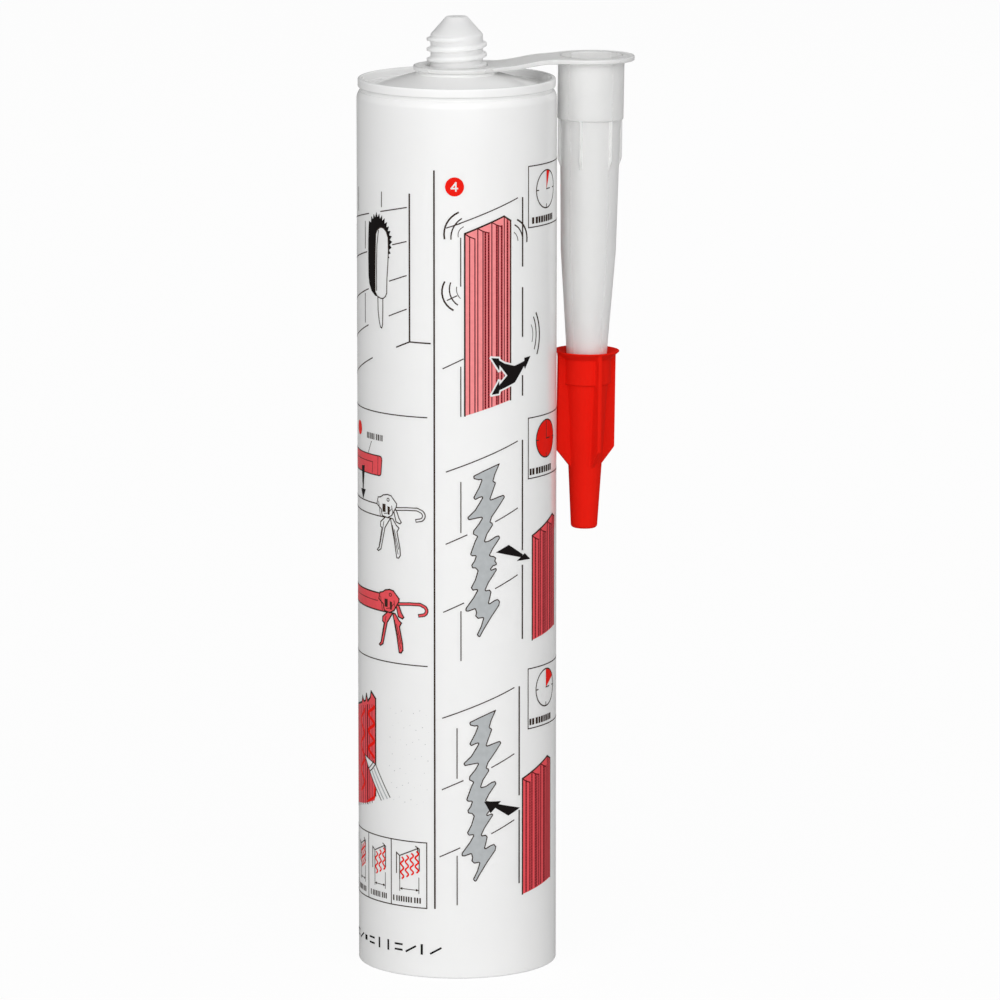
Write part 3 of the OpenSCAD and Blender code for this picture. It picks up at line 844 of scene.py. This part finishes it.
def applicator(du, dz, ink, cradle, line=THIN):
    """Applicator seen from the side, pointing left: cradle, head, two levers and the hooked rod."""
    def part(points):
        outlined(moved(points, du, dz), ink, line)
    rod = rounded([(u, z, 1.2) for u, z in (
        (-16.3, 17.2), (-13.2, 17.5), (-10.3, 17.6), (-8.9, 17.0), (-8.4, 16.1), (-8.9, 15.1),
        (-10.4, 14.8))], 3)
    stroke(moved(rod, du, dz), 0.9, LINE)
    stroke(moved(rod, du, dz), BOLD, ink)
    part([(-47.0, 15.0), (-19.9, 14.7), (-21.8, cradle), (-47.0, cradle)])
    part([(-19.9, 14.8), (-21.7, 13.4), (-21.8, 12.3), (-21.2, 11.9), (-22.4, 6.9), (-23.1, 6.2),
          (-22.6, 6.0), (-21.6, 6.6), (-21.1, 8.4), (-20.1, 12.1), (-18.2, 14.7)])
    part([(-18.2, 14.7), (-16.9, 9.0), (-16.2, 5.0), (-15.6, 5.0), (-15.1, 5.7), (-15.2, 7.4), (-16.1, 11.5),
          (-15.5, 12.5), (-16.3, 13.1), (-17.4, 14.6)])
    part([(-17.2, 16.9), (-16.4, 14.0), (-15.2, 13.6), (-14.8, 14.0), (-15.5, 15.0), (-16.3, 16.9)])
    part([(-23.2, 17.7), (-22.7, 19.4), (-21.7, 19.6), (-20.7, 20.2), (-19.2, 20.5), (-18.0, 20.3),
          (-16.2, 18.5), (-16.3, 17.7), (-17.8, 15.4), (-19.2, 14.7), (-21.1, 15.0), (-21.5, 16.6)])
    for block in (((-21.0, 18.0), (-19.9, 18.0), (-19.9, 16.0), (-21.0, 16.0)),
                  ((-19.2, 17.6), (-18.4, 17.4), (-18.5, 15.5), (-19.1, 15.5))):
        fill(moved(block, du, dz), LINE)
    for line in (((-22.5, 18.4), (-21.8, 14.8)), ((-20.5, 13.6), (-21.6, 9.0), (-22.3, 6.8)),
                 ((-18.0, 13.6), (-16.6, 9.4)), ((-17.6, 13.0), (-15.8, 6.0)),
                 ((-17.0, 12.0), (-15.6, 7.2)), ((-20.4, 15.6), (-18.9, 15.9), (-17.9, 17.0)),
                 ((-17.8, 17.8), (-17.4, 15.8))):
        stroke(moved(line, du, dz), FINE)
    fill(round_points(-19.0 + du, 19.2 + dz, 0.5, steps=12), LINE)
    fill(round_points(-19.0 + du, 19.2 + dz, 0.26, steps=12), ink)


COLUMN = 52.1
COLUMN_SIDE = -5.8
RULE_LOW, RULE_HIGH = 17.6, 201.5
for u in (COLUMN_SIDE, COLUMN_SIDE + COLUMN, COLUMN_SIDE - COLUMN):
    stroke([(u, RULE_LOW), (u, RULE_HIGH)], RULE)

# left column: brushing the wall
for line in (((-54.5, 183.6), (-26.6, 189.4)), ((-21.4, 190.5), (-13.1, 192.2)),
             ((-54.5, 172.5), (-27.6, 179.8)), ((-17.3, 182.7), (-13.2, 183.8)),
             ((-54.5, 160.8), (-26.9, 170.7)), ((-18.4, 173.6), (-13.2, 175.4)),
             ((-54.5, 150.7), (-27.0, 161.7)), ((-18.5, 165.0), (-13.2, 167.1)),
             ((-52.0, 142.3), (-25.0, 153.8)), ((-21.1, 195.3), (-21.1, 191.7)),
             ((-28.6, 187.2), (-28.6, 180.6)), ((-28.7, 169.3), (-28.7, 162.2)),
             ((-39.5, 185.0), (-39.5, 177.6)), ((-39.5, 165.4), (-39.5, 157.8)),
             ((-48.0, 195.0), (-48.0, 186.0)), ((-48.0, 172.8), (-48.0, 165.0)),
             ((-34.0, 195.0), (-34.0, 189.2))):
    stroke(line)
stroke([(-12.3, 195.5), (-12.3, 159.1)], BOLD)
stroke([(-16.1, 157.5), (-12.3, 159.1), (-6.8, 159.0)], 0.34)
HAIR_TIPS = [(-26.3, 187.3), (-25.2, 188.6), (-24.2, 189.2), (-23.1, 189.8), (-22.0, 189.5),
             (-21.0, 189.2), (-20.1, 188.6), (-19.3, 187.8), (-18.7, 186.8), (-18.2, 185.8),
             (-17.8, 184.6), (-17.7, 183.3), (-17.9, 181.9), (-18.2, 180.5), (-18.6, 179.4),
             (-18.9, 178.3)]
HAIR_U, HAIR_Z = -22.8, 181.5
bristles = [(-21.4, 169.2), (-23.7, 169.4), (-25.3, 170.4), (-26.4, 172.1), (-26.8, 174.0),
            (-26.9, 178.3), (-26.9, 182.5), (-26.7, 186.0)]
for (u1, z1), (u2, z2) in zip(HAIR_TIPS, HAIR_TIPS[1:]):
    for share, reach in ((0.0, 1.05), (0.45, 0.91)):
        u, z = u1 + (u2 - u1) * share, z1 + (z2 - z1) * share
        bristles.append((HAIR_U + (u - HAIR_U) * reach, HAIR_Z + (z - HAIR_Z) * reach))
fill(bristles, BLACK)
outlined([(-22.6, 169.2), (-22.5, 166.0), (-22.1, 163.5), (-21.6, 161.9), (-21.1, 161.7), (-20.8, 162.6),
          (-20.7, 166.2), (-20.7, 169.1)], BARE)
outlined([(-22.8, 169.4), (-23.7, 170.4), (-23.7, 174.4), (-23.6, 180.4), (-23.4, 184.7), (-22.7, 185.9),
          (-21.5, 186.6), (-20.4, 186.5), (-19.4, 185.7), (-18.8, 184.3), (-18.7, 180.9), (-18.9, 177.5),
          (-19.2, 174.1), (-19.3, 170.6), (-19.7, 169.7), (-20.5, 169.1), (-21.4, 169.0)], BARE)
stroke([(-22.3, 185.7), (-22.9, 182.2), (-23.1, 177.0), (-23.1, 170.8)])
numbered_disc(-52.2, 197.7, 1)

# left column: loading the applicator
stroke([(-55.6, 140.6), (-7.7, 140.6)])
fill(round_points(-33.1, 135.3, 1.8), RED)
bars(-27.9, 133.5, (0.4, 0.5, 0.4, 0.6, 0.4, 0.0, 0.4, 0.5, 0.3, 0.4), 1.5, gap=0.34)
stroke([(-25.6, 132.9), (-27.2, 129.9)], FINE)
outlined(rounded([(-47.0, 124.6, 0), (-21.6, 124.8, 0.8), (-21.1, 129.7, 0.8), (-47.0, 129.6, 0)], 3), ROSE)
stroke([(-47.0, 127.6), (-25.0, 127.9), (-25.2, 125.2)], FINE)
stroke([(-22.7, 129.5), (-22.8, 125.0)], FINE)
applicator(0.0, 100.0, BARE, 17.7)
arrow([(-31.5, 126.0), (-29.3, 126.4), (-30.3, 120.0), (-30.8, 120.0)],
      [(-32.1, 120.2), (-28.8, 120.4), (-30.5, 117.8)])
applicator(0.7, 76.3, ROSE, 19.1, 0.34)
stroke([(-47.0, 93.6), (-23.0, 93.4)], FINE)

# left column: laying the bead on a strip
stroke([(-55.6, 78.7), (-7.7, 78.5)])
numbered_disc(-52.2, 72.4, 3)
strip = [(-46.7, 38.0), (-29.7, 41.0), (-24.6, 42.6), (-24.1, 43.9), (-24.0, 68.5), (-26.1, 70.0),
         (-26.5, 68.4), (-27.9, 67.2), (-28.7, 68.9), (-29.2, 67.2), (-30.4, 66.7), (-31.4, 67.8),
         (-32.0, 66.2), (-46.7, 62.1)]
fill(strip, ROSE)
for u, width in ((-44.0, 0.3), (-42.0, 0.3), (-39.6, 0.3), (-36.6, 0.5), (-34.4, THIN), (-32.4, THIN),
                 (-30.9, THIN), (-29.4, THIN), (-28.1, 0.6), (-26.9, THIN), (-25.7, FINE)):
    stroke([(u, 42.2 + (u + 24.2) * 0.25), (u, 67.0 + (u + 24.2) * 0.22)], width, DEEP)
stroke(strip[3:], 0.5)
for u, top, low, turn in ((-37.0, 63.4, 45.0, 6.2), (-31.4, 64.8, 43.5, 6.2), (-26.1, 66.4, 53.2, 4.4)):
    steps = int((top - low) / 0.35)
    stroke([(u + 1.4 * math.cos(math.tau * 0.35 * k / turn), top - 0.35 * k)
            for k in range(steps + 1)], 0.8, RED)
stroke([(-24.8, 51.0), (-24.3, 46.0), (-24.7, 43.4), (-28.0, 41.8)], 0.6, RED)
outlined([(-30.0, 53.4), (-26.6, 49.3), (-24.1, 51.9)], BARE)
fill([(-26.9, 49.6), (-24.1, 51.9), (-18.4, 44.6), (-21.8, 43.2)], BARE)
for line in (((-26.9, 49.6), (-21.8, 43.2)), ((-24.1, 51.9), (-18.6, 44.4)),
             ((-26.9, 49.6), (-25.7, 50.4), (-24.1, 51.9)),
             ((-27.3, 50.4), (-26.0, 51.4), (-24.9, 52.6))):
    stroke(line)
for line in (((-25.7, 49.9), (-20.9, 43.6)), ((-24.9, 50.8), (-19.6, 44.0))):
    stroke(line, 0.36, GREY)
# specks beside the strip, spread evenly over a field by two fixed steps
for k in range(46):
    u, z = -19.0 + 12.0 * math.modf(k * 0.755)[0], 42.5 + 26 * math.modf(k * 0.570 + 0.1)[0]
    fill(round_points(u, z, 0.06 + 0.03 * (k % 3), steps=6), GREY)

# left column: row of small framed widths
BOX_LOW, BOX_HIGH = 17.4, 34.0
BOX_SIDES = (-7.9, -18.2, -27.6, -37.0, -46.4, -55.6)
TICK_STEP = 0.7
frame_box(BOX_SIDES[-1], BOX_LOW, BOX_SIDES[0], BOX_HIGH)
for u in BOX_SIDES[1:-1]:
    stroke([(u, BOX_LOW), (u, BOX_HIGH)])
for right, wide, waves in zip(BOX_SIDES, (5.5, 4.2, 3.4, 2.8, 2.2), (4, 3, 3, 2, 2)):
    u2 = right - 2.1
    u1 = u2 - wide
    rise = 0.42 * wide
    stroke([(u1 - 1.0, 25.6), (u1 - 1.0, 30.8), (u1, 30.1), (u1, 24.2)])
    stroke([(u1, 30.1), (u2 - 0.3, 30.1 + rise), (u2 - 0.3, 29.0 + rise)])
    stroke([(u2 - 0.9, 30.6 + rise), (u2 + 0.1, 30.0 + rise), (u2 + 0.1, 25.6 + rise * 0.5)])
    for j in range(waves):
        share = j / (waves - 1)
        wave(u1 + 0.75 + (wide - 1.3) * share, 29.7 + rise * 0.8 * share)
    stroke([(u1, 24.0), (u1, 21.2)], FINE)
    stroke([(u2, 25.0), (u2, 21.0)], FINE)
    stroke([(u1, 21.8), (u2, 21.8)], FINE)
    for side, u in ((1, u1), (-1, u2)):
        fill([(u, 21.8), (u + 0.8 * side, 22.15), (u + 0.8 * side, 21.45)], LINE)
    ticks = round((wide + 2.6) / TICK_STEP)
    lengths = [0.4 if k not in (1, ticks - 3) else 0.0 for k in range(ticks + 1)]
    bars(right - 1.3 - TICK_STEP * ticks, 18.5, lengths, 1.4, gap=0.31)

# row of plain marks near the rear end
MARKS = ("bar", "dot", "pair", "slash", "dot", "pair", "bar", "bar", "pair", "slash", "bar", "slash")
MARK_START, MARK_STEP, MARK_LINE = -43.75, 3.35, 0.46
for k, kind in enumerate(MARKS):
    u = MARK_START + MARK_STEP * k
    if kind == "slash":
        stroke([(u, 6.0), (u + 2.6, 7.5)], MARK_LINE, BLACK)
    elif kind == "dot":
        fill([(u + 0.5, 6.2), (u + 1.8, 6.2), (u + 1.8, 7.5), (u + 0.5, 7.5)], BLACK)
    elif kind == "pair":
        for z in (6.2, 7.6):
            stroke([(u, z), (u + 2.1, z)], MARK_LINE, BLACK)
    else:
        stroke([(u + 1.0, 5.8), (u + 1.0, 8.0)], 0.6, BLACK)

# middle column: pressing the strip on, parting the two and pressing again
numbered_disc(-0.7, 197.7, 4)
dial_box(19.5, 186.6, 22, 8.8, 1.3, DIAL_BLOCKS + (0.8,))
dial_box(19.5, 124.3, 360, 9.1, 0.5, (0.7,) + DIAL_BLOCKS)
dial_box(19.5, 61.5, 60, 9.3, 0.5, (0.7,) + DIAL_BLOCKS)
for line in (((-2.7, 187.6), (0.7, 188.7)), ((-0.6, 188.3), (15.9, 194.3)), ((0.8, 185.1), (0.8, 173.3)),
             ((0.8, 153.3), (0.8, 141.1)), ((-3.6, 152.9), (1.4, 155.3)), ((-2.5, 169.8), (-0.2, 170.9))):
    stroke(line)
for high, low in ((194.2, 177.4), (172.0, 160.0), (150.2, 145.4)):
    stroke([(17.5, high), (17.5, low)], BOLD)
ribbed_panel(((1.8, 141.2), (13.8, 144.6), (13.8, 188.9), (1.8, 186.2)), PINK, 3.9)
# strokes of movement round the strip, each group from its widest arc inwards
ARCS = (
    (((0.2, 191.4), (-2.5, 189.0), (-3.2, 185.0)), ((1.0, 189.9), (-1.0, 187.7), (-1.6, 184.9)),
     ((1.5, 187.9), (0.4, 186.9), (0.2, 185.4))),
    (((-3.2, 174.3), (-3.7, 170.7), (-1.1, 167.4)), ((-1.7, 174.1), (-1.9, 171.6), (0.0, 168.7)),
     ((-0.2, 173.1), (-0.2, 172.0), (0.7, 170.3))),
    (((15.9, 188.9), (18.2, 186.8), (18.9, 183.3)), ((15.1, 187.7), (17.1, 185.6), (17.5, 183.3)),
     ((14.9, 185.9), (15.7, 184.9), (16.0, 183.8))),
    (((22.4, 165.2), (23.8, 160.2), (22.8, 155.1)), ((21.4, 164.3), (22.4, 160.4), (21.7, 156.4)),
     ((20.5, 162.5), (21.1, 160.5), (20.8, 158.3))))
for group in ARCS:
    for (start, bend, end), width in zip(group, (BOLD, 0.32, FINE)):
        stroke(arc_through(start, bend, end), width)
STAR = ((8.5, 155.3), (10.5, 155.1), (10.6, 154.6), (12.1, 153.7), (15.0, 152.9), (18.1, 153.8),
        (18.1, 154.6), (20.2, 154.8), (18.3, 151.8), (18.0, 152.6), (15.1, 148.8), (10.7, 147.2),
        (10.5, 146.4), (8.6, 146.2), (10.6, 149.5), (10.6, 148.4), (12.9, 150.7), (10.7, 153.4),
        (10.6, 152.1))
stroke(STAR + STAR[:1], 0.9, BARE)
fill(STAR, BLACK)
for du, dz in ((0.0, 0.0), (-1.0, -61.6)):
    wall(du, dz)
    bead(8.1 + du, 128.6 + dz)
arrow([(9.7, 106.9), (13.3, 108.5), (17.7, 105.6), (17.0, 105.0)],
      [(18.3, 105.9), (20.2, 104.2), (15.7, 104.2)])
arrow([(16.8, 42.0), (13.2, 40.4), (9.3, 42.9), (10.4, 43.6)],
      [(6.6, 44.5), (11.1, 44.3), (8.3, 41.5)])
ribbed_panel(((21.0, 83.7), (33.2, 85.6), (33.1, 112.9), (21.0, 109.9)), ROSE, 3.9, True)
ribbed_panel(((17.6, 19.9), (29.9, 22.1), (29.9, 52.3), (17.6, 49.2)), ROSE, 4.0, True)

# right column, at the back: a field of colour, rows of blocks, two plain drawings and four timers
BACK = COLUMN_SIDE + COLUMN
BACK_LEFT, BACK_RIGHT = BACK + 3.5, BACK + 48.2
ROW_STEP_DOWN = 2.3
fill(rounded([(BACK + 25, 199.0, 0), (BACK_RIGHT, 199.0, 2), (BACK_RIGHT, 168.0, 2), (BACK_LEFT, 168.0, 2),
              (BACK_LEFT, 199.0, 2), (BACK + 25, 199.0, 0)], 4)[:-1], RED)
bars(BACK + 8, 188.0, (22, 12), 4.2, BARE, 1.6)
bars(BACK + 8, 181.0, (14, 17), 2.6, BARE, 1.2)
bars(BACK + 8, 174.5, (9, 6, 12), 1.5, BARE, 0.9)
ROWS = ((6.0, 9.5, 4.2, 7.8, 5.0, 5.4), (8.2, 5.5, 7.4, 9.0, 7.6), (5.0, 7.0, 10.2, 4.4, 8.8, 2.0),
        (9.0, 6.4, 5.6))


def block_of_rows(top, heading, first, count):
    """A short heading in red over rows of plain blocks. The last row is the shortest one."""
    bars(BACK_LEFT, top, (heading,), 1.5, RED)
    for row in range(count):
        lengths = ROWS[(row + first) % 4] if row < count - 1 else ROWS[3]
        bars(BACK_LEFT, top - 2.8 - ROW_STEP_DOWN * row, lengths, 0.85)


block_of_rows(160.0, 13.0, 0, 6)
block_of_rows(139.0, 16.0, 1, 6)
frame_box(BACK_LEFT, 84.0, BACK_RIGHT, 116.0)
stroke([(BACK + 25.8, 84.0), (BACK + 25.8, 116.0)])
outlined(rounded([(BACK + 12, 88.0, 0), (BACK + 18, 88.0, 0.5), (BACK + 18, 104.0, 0.5),
                  (BACK + 16.2, 105.5, 0.3), (BACK + 16.2, 108.0, 0.3), (BACK + 13.8, 108.0, 0.3),
                  (BACK + 13.8, 105.5, 0.3), (BACK + 12, 104.0, 0.5), (BACK + 12, 88.0, 0)], 3)[:-1], ROSE)
arrow([(BACK + 14.6, 114.0), (BACK + 15.4, 114.0), (BACK + 15.4, 111.0), (BACK + 14.6, 111.0)],
      [(BACK + 13.7, 111.4), (BACK + 16.3, 111.4), (BACK + 15.0, 109.0)])
ribbed_panel(((BACK + 31, 88.0), (BACK + 43, 90.4), (BACK + 43, 111.0), (BACK + 31, 108.0)), PINK, 4.0)
block_of_rows(76.0, 16.0, 1, 7)
block_of_rows(53.0, 14.0, 3, 7)
TIMERS_TOP, TIMER_Z, TIMER_R, TIMER_EDGE = 31.0, 25.2, 2.95, 0.25
TIMER_STEP = (BACK_RIGHT - BACK_LEFT) / 4
frame_box(BACK_LEFT, RULE_LOW, BACK_RIGHT, TIMERS_TOP)
for k in range(1, 4):
    stroke([(BACK_LEFT + TIMER_STEP * k, RULE_LOW), (BACK_LEFT + TIMER_STEP * k, TIMERS_TOP)])
for k in range(4):
    u = BACK + 9.1 + TIMER_STEP * k
    dial(u, TIMER_Z, TIMER_R + TIMER_EDGE, TIMER_R, min(90 * (k + 1), 359.5), 28, 16)
    bars(u - 3.1, 19.4, (2.4, 3.2), 0.9)

# the shapes as one thin closed film, cut along the arc so that it lies round the barrel
FACING = math.radians(-105)
FILM_OUT, FILM_IN, FILM_STEP = 0.025, 0.03, 1.2
FILM_LOW, FILM_HIGH = 4.0, 203.0
SAME_SPOT = 1e-4
# the sheet's own scale and place on the barrel
SHEET_WIDE, SHEET_TALL, SHEET_UP = 0.985, 0.9937, 0.20
flat, loops, cuts = [], [], []
for polygon, ink in shapes:
    loops.append(list(range(len(flat), len(flat) + len(polygon))))
    flat += [Vector((u * SHEET_WIDE, z * SHEET_TALL + SHEET_UP)) for u, z in polygon]
left, right = min(p.x for p in flat), max(p.x for p in flat)
steps = math.ceil((right - left) / FILM_STEP)
for k in range(1, steps):
    cuts.append((len(flat), len(flat) + 1))
    u = left + (right - left) * k / steps
    flat += [Vector((u, FILM_LOW)), Vector((u, FILM_HIGH))]
found = delaunay_2d_cdt(flat, cuts, loops, 0, SAME_SPOT)
where, triangles, inside = found[0], found[2], found[5]
points, faces, inks, numbers, edges = [], [], [], {}, {}


def film_point(i, lift):
    if (i, lift) not in numbers:
        a = FACING + where[i].x / BARREL_R
        numbers[i, lift] = len(points)
        r = BARREL_R + lift
        points.append((r * math.cos(a), r * math.sin(a), where[i].y))
    return numbers[i, lift]


for triangle, owners in zip(triangles, inside):
    if not owners:
        continue
    ink = shapes[max(owners)][1]
    if ink == BARE:
        continue
    faces.append(tuple(film_point(i, FILM_OUT) for i in triangle))
    faces.append(tuple(film_point(i, -FILM_IN) for i in triangle[::-1]))
    inks += [ink, ink]
    for a, b in zip(triangle, triangle[1:] + triangle[:1]):
        if (b, a) in edges:
            del edges[b, a]
        else:
            edges[a, b] = ink
for (a, b), ink in edges.items():
    faces.append((
        film_point(b, FILM_OUT), film_point(a, FILM_OUT), film_point(a, -FILM_IN), film_point(b, -FILM_IN)))
    inks.append(ink)
film = mesh_piece("print_film", points, faces, None, "cartridge")
for name, colour in INKS:
    film.data.materials.append(material(
        name, colour, 0.20, 900.0, 0.000002, mottle=0.05, mottle_scale=700.0, specular=0.08, index=1.15))
film.data.polygons.foreach_set("material_index", inks)
film.data.normals_split_custom_set_from_vertices([
    Vector((v.co.x, v.co.y, 0)).normalized() for v in film.data.vertices])

# floor, light and camera
FLOOR_R = 4.0
FLOOR_STEPS = 64
FLOOR_COLOUR = (0.60, 0.60, 0.60, 1.0)
FLOOR_SEEN = (0.99, 0.99, 0.99, 1.0)
FLOOR_GLOW = 0.94
WHITE = (1.0, 1.0, 1.0, 1.0)
FRONT = (-0.208, -0.978, 0.0)
ROOM_FRONT = 0.98
ROOM_BACK = 0.24
ROOM_TURN = -0.7
floor_mesh = bpy.data.meshes.new("floor")
floor_mesh.from_pydata(circle(FLOOR_R, 0, FLOOR_STEPS), [], [tuple(range(FLOOR_STEPS))])
floor = bpy.data.objects.new("floor", floor_mesh)
bpy.context.scene.collection.objects.link(floor)
floor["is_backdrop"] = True
floor_mat = bpy.data.materials.new("floor_white")
floor_mat.use_nodes = True
nodes = floor_mat.node_tree.nodes
diffuse = set_inputs(nodes["Principled BSDF"], Roughness=0.9, Specular_IOR_Level=0.1)
path = nodes.new("ShaderNodeLightPath")
pale = nodes.new("ShaderNodeMix")
pale.data_type = "RGBA"
set_inputs(pale, A=FLOOR_COLOUR, B=FLOOR_SEEN)
join(path, "Is Camera Ray", pale, "Factor")
join(pale, "Result", diffuse, "Base Color")
glow = set_inputs(nodes.new("ShaderNodeEmission"), Strength=1.0)
share = nodes.new("ShaderNodeMath")
share.operation = "MULTIPLY"
share.inputs[1].default_value = FLOOR_GLOW
join(path, "Is Camera Ray", share, 0)
mix = nodes.new("ShaderNodeMixShader")
join(share, "Value", mix, "Fac")
join(diffuse, "BSDF", mix, 1)
join(glow, "Emission", mix, 2)
join(mix, "Shader", nodes["Material Output"], "Surface")
floor_mesh.materials.append(floor_mat)

# the room is brightest in front of the tube, and plain white where the camera sees it
world = bpy.data.worlds.new("white_room")
bpy.context.scene.world = world
world.use_nodes = True
nodes = world.node_tree.nodes
lit = set_inputs(nodes["Background"], Color=WHITE)
direction = nodes.new("ShaderNodeTexCoord")
facing = nodes.new("ShaderNodeVectorMath")
facing.operation = "DOT_PRODUCT"
facing.inputs[1].default_value = FRONT
level = nodes.new("ShaderNodeMapRange")
level.interpolation_type = "SMOOTHSTEP"
set_inputs(level, From_Min=ROOM_TURN, To_Min=ROOM_BACK, To_Max=ROOM_FRONT)
join(direction, "Generated", facing, 0)
join(facing, "Value", level, "Value")
join(level, "Result", lit, "Strength")
seen = set_inputs(nodes.new("ShaderNodeBackground"), Color=WHITE, Strength=1.0)
path = nodes.new("ShaderNodeLightPath")
either = nodes.new("ShaderNodeMath")
either.operation = "MAXIMUM"
join(path, "Is Camera Ray", either, 0)
join(path, "Is Transmission Ray", either, 1)
mix = nodes.new("ShaderNodeMixShader")
join(either, "Value", mix, "Fac")
join(lit, "Background", mix, 1)
join(seen, "Background", mix, 2)
join(mix, "Shader", nodes["World Output"], "Surface")

MIDDLE = (0.01, 0.0, 0.12)


def softbox(name, place, size, power):
    """Large area lamp that faces the middle of the tube, in metres and watts."""
    data = bpy.data.lights.new(name, "AREA")
    data.shape = "RECTANGLE"
    data.size, data.size_y = size
    data.energy = power
    lamp = bpy.data.objects.new(name, data)
    lamp.location = place
    lamp.rotation_euler = (Vector(MIDDLE) - Vector(place)).to_track_quat("-Z", "Y").to_euler()
    bpy.context.scene.collection.objects.link(lamp)


CAMERA_TURN = math.radians(-15)


def from_camera_side(side, back, up):
    """Point given to the right of the camera's line of sight, towards the camera, and up, in metres."""
    spot = Matrix.Rotation(CAMERA_TURN, 3, "Z") @ Vector((side, -back, 0))
    return (spot.x, spot.y, up)


softbox("front box", from_camera_side(-0.08, 1.6, 0.7), (2.2, 1.6), 15.5)
softbox("back box", from_camera_side(0.6, -1.5, 1.0), (1.6, 1.2), 3.2)

CAMERA_LENS = 278.1
CAMERA_TILT = math.radians(90 - 10.283)
CAMERA_PAN, CAMERA_ROLL = -0.01133, -0.00186
CAMERA_PLACE = (-0.01099, -1.8745, 0.4554)
camera_data = bpy.data.cameras.new("camera")
camera_data.lens = CAMERA_LENS
camera_data.clip_end = 30.0
camera = bpy.data.objects.new("camera", camera_data)
bpy.context.scene.collection.objects.link(camera)
spin = Matrix.Rotation(CAMERA_TURN, 4, "Z")
tilt = Matrix.Rotation(CAMERA_TILT, 4, "X")
pan = Matrix.Rotation(CAMERA_PAN, 4, "Y") @ Matrix.Rotation(CAMERA_ROLL, 4, "Z")
camera.matrix_world = Matrix.Translation(spin @ Vector(CAMERA_PLACE)) @ spin @ tilt @ pan
bpy.context.scene.camera = camera
bpy.context.scene.view_settings.view_transform = "Standard"

low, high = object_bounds()
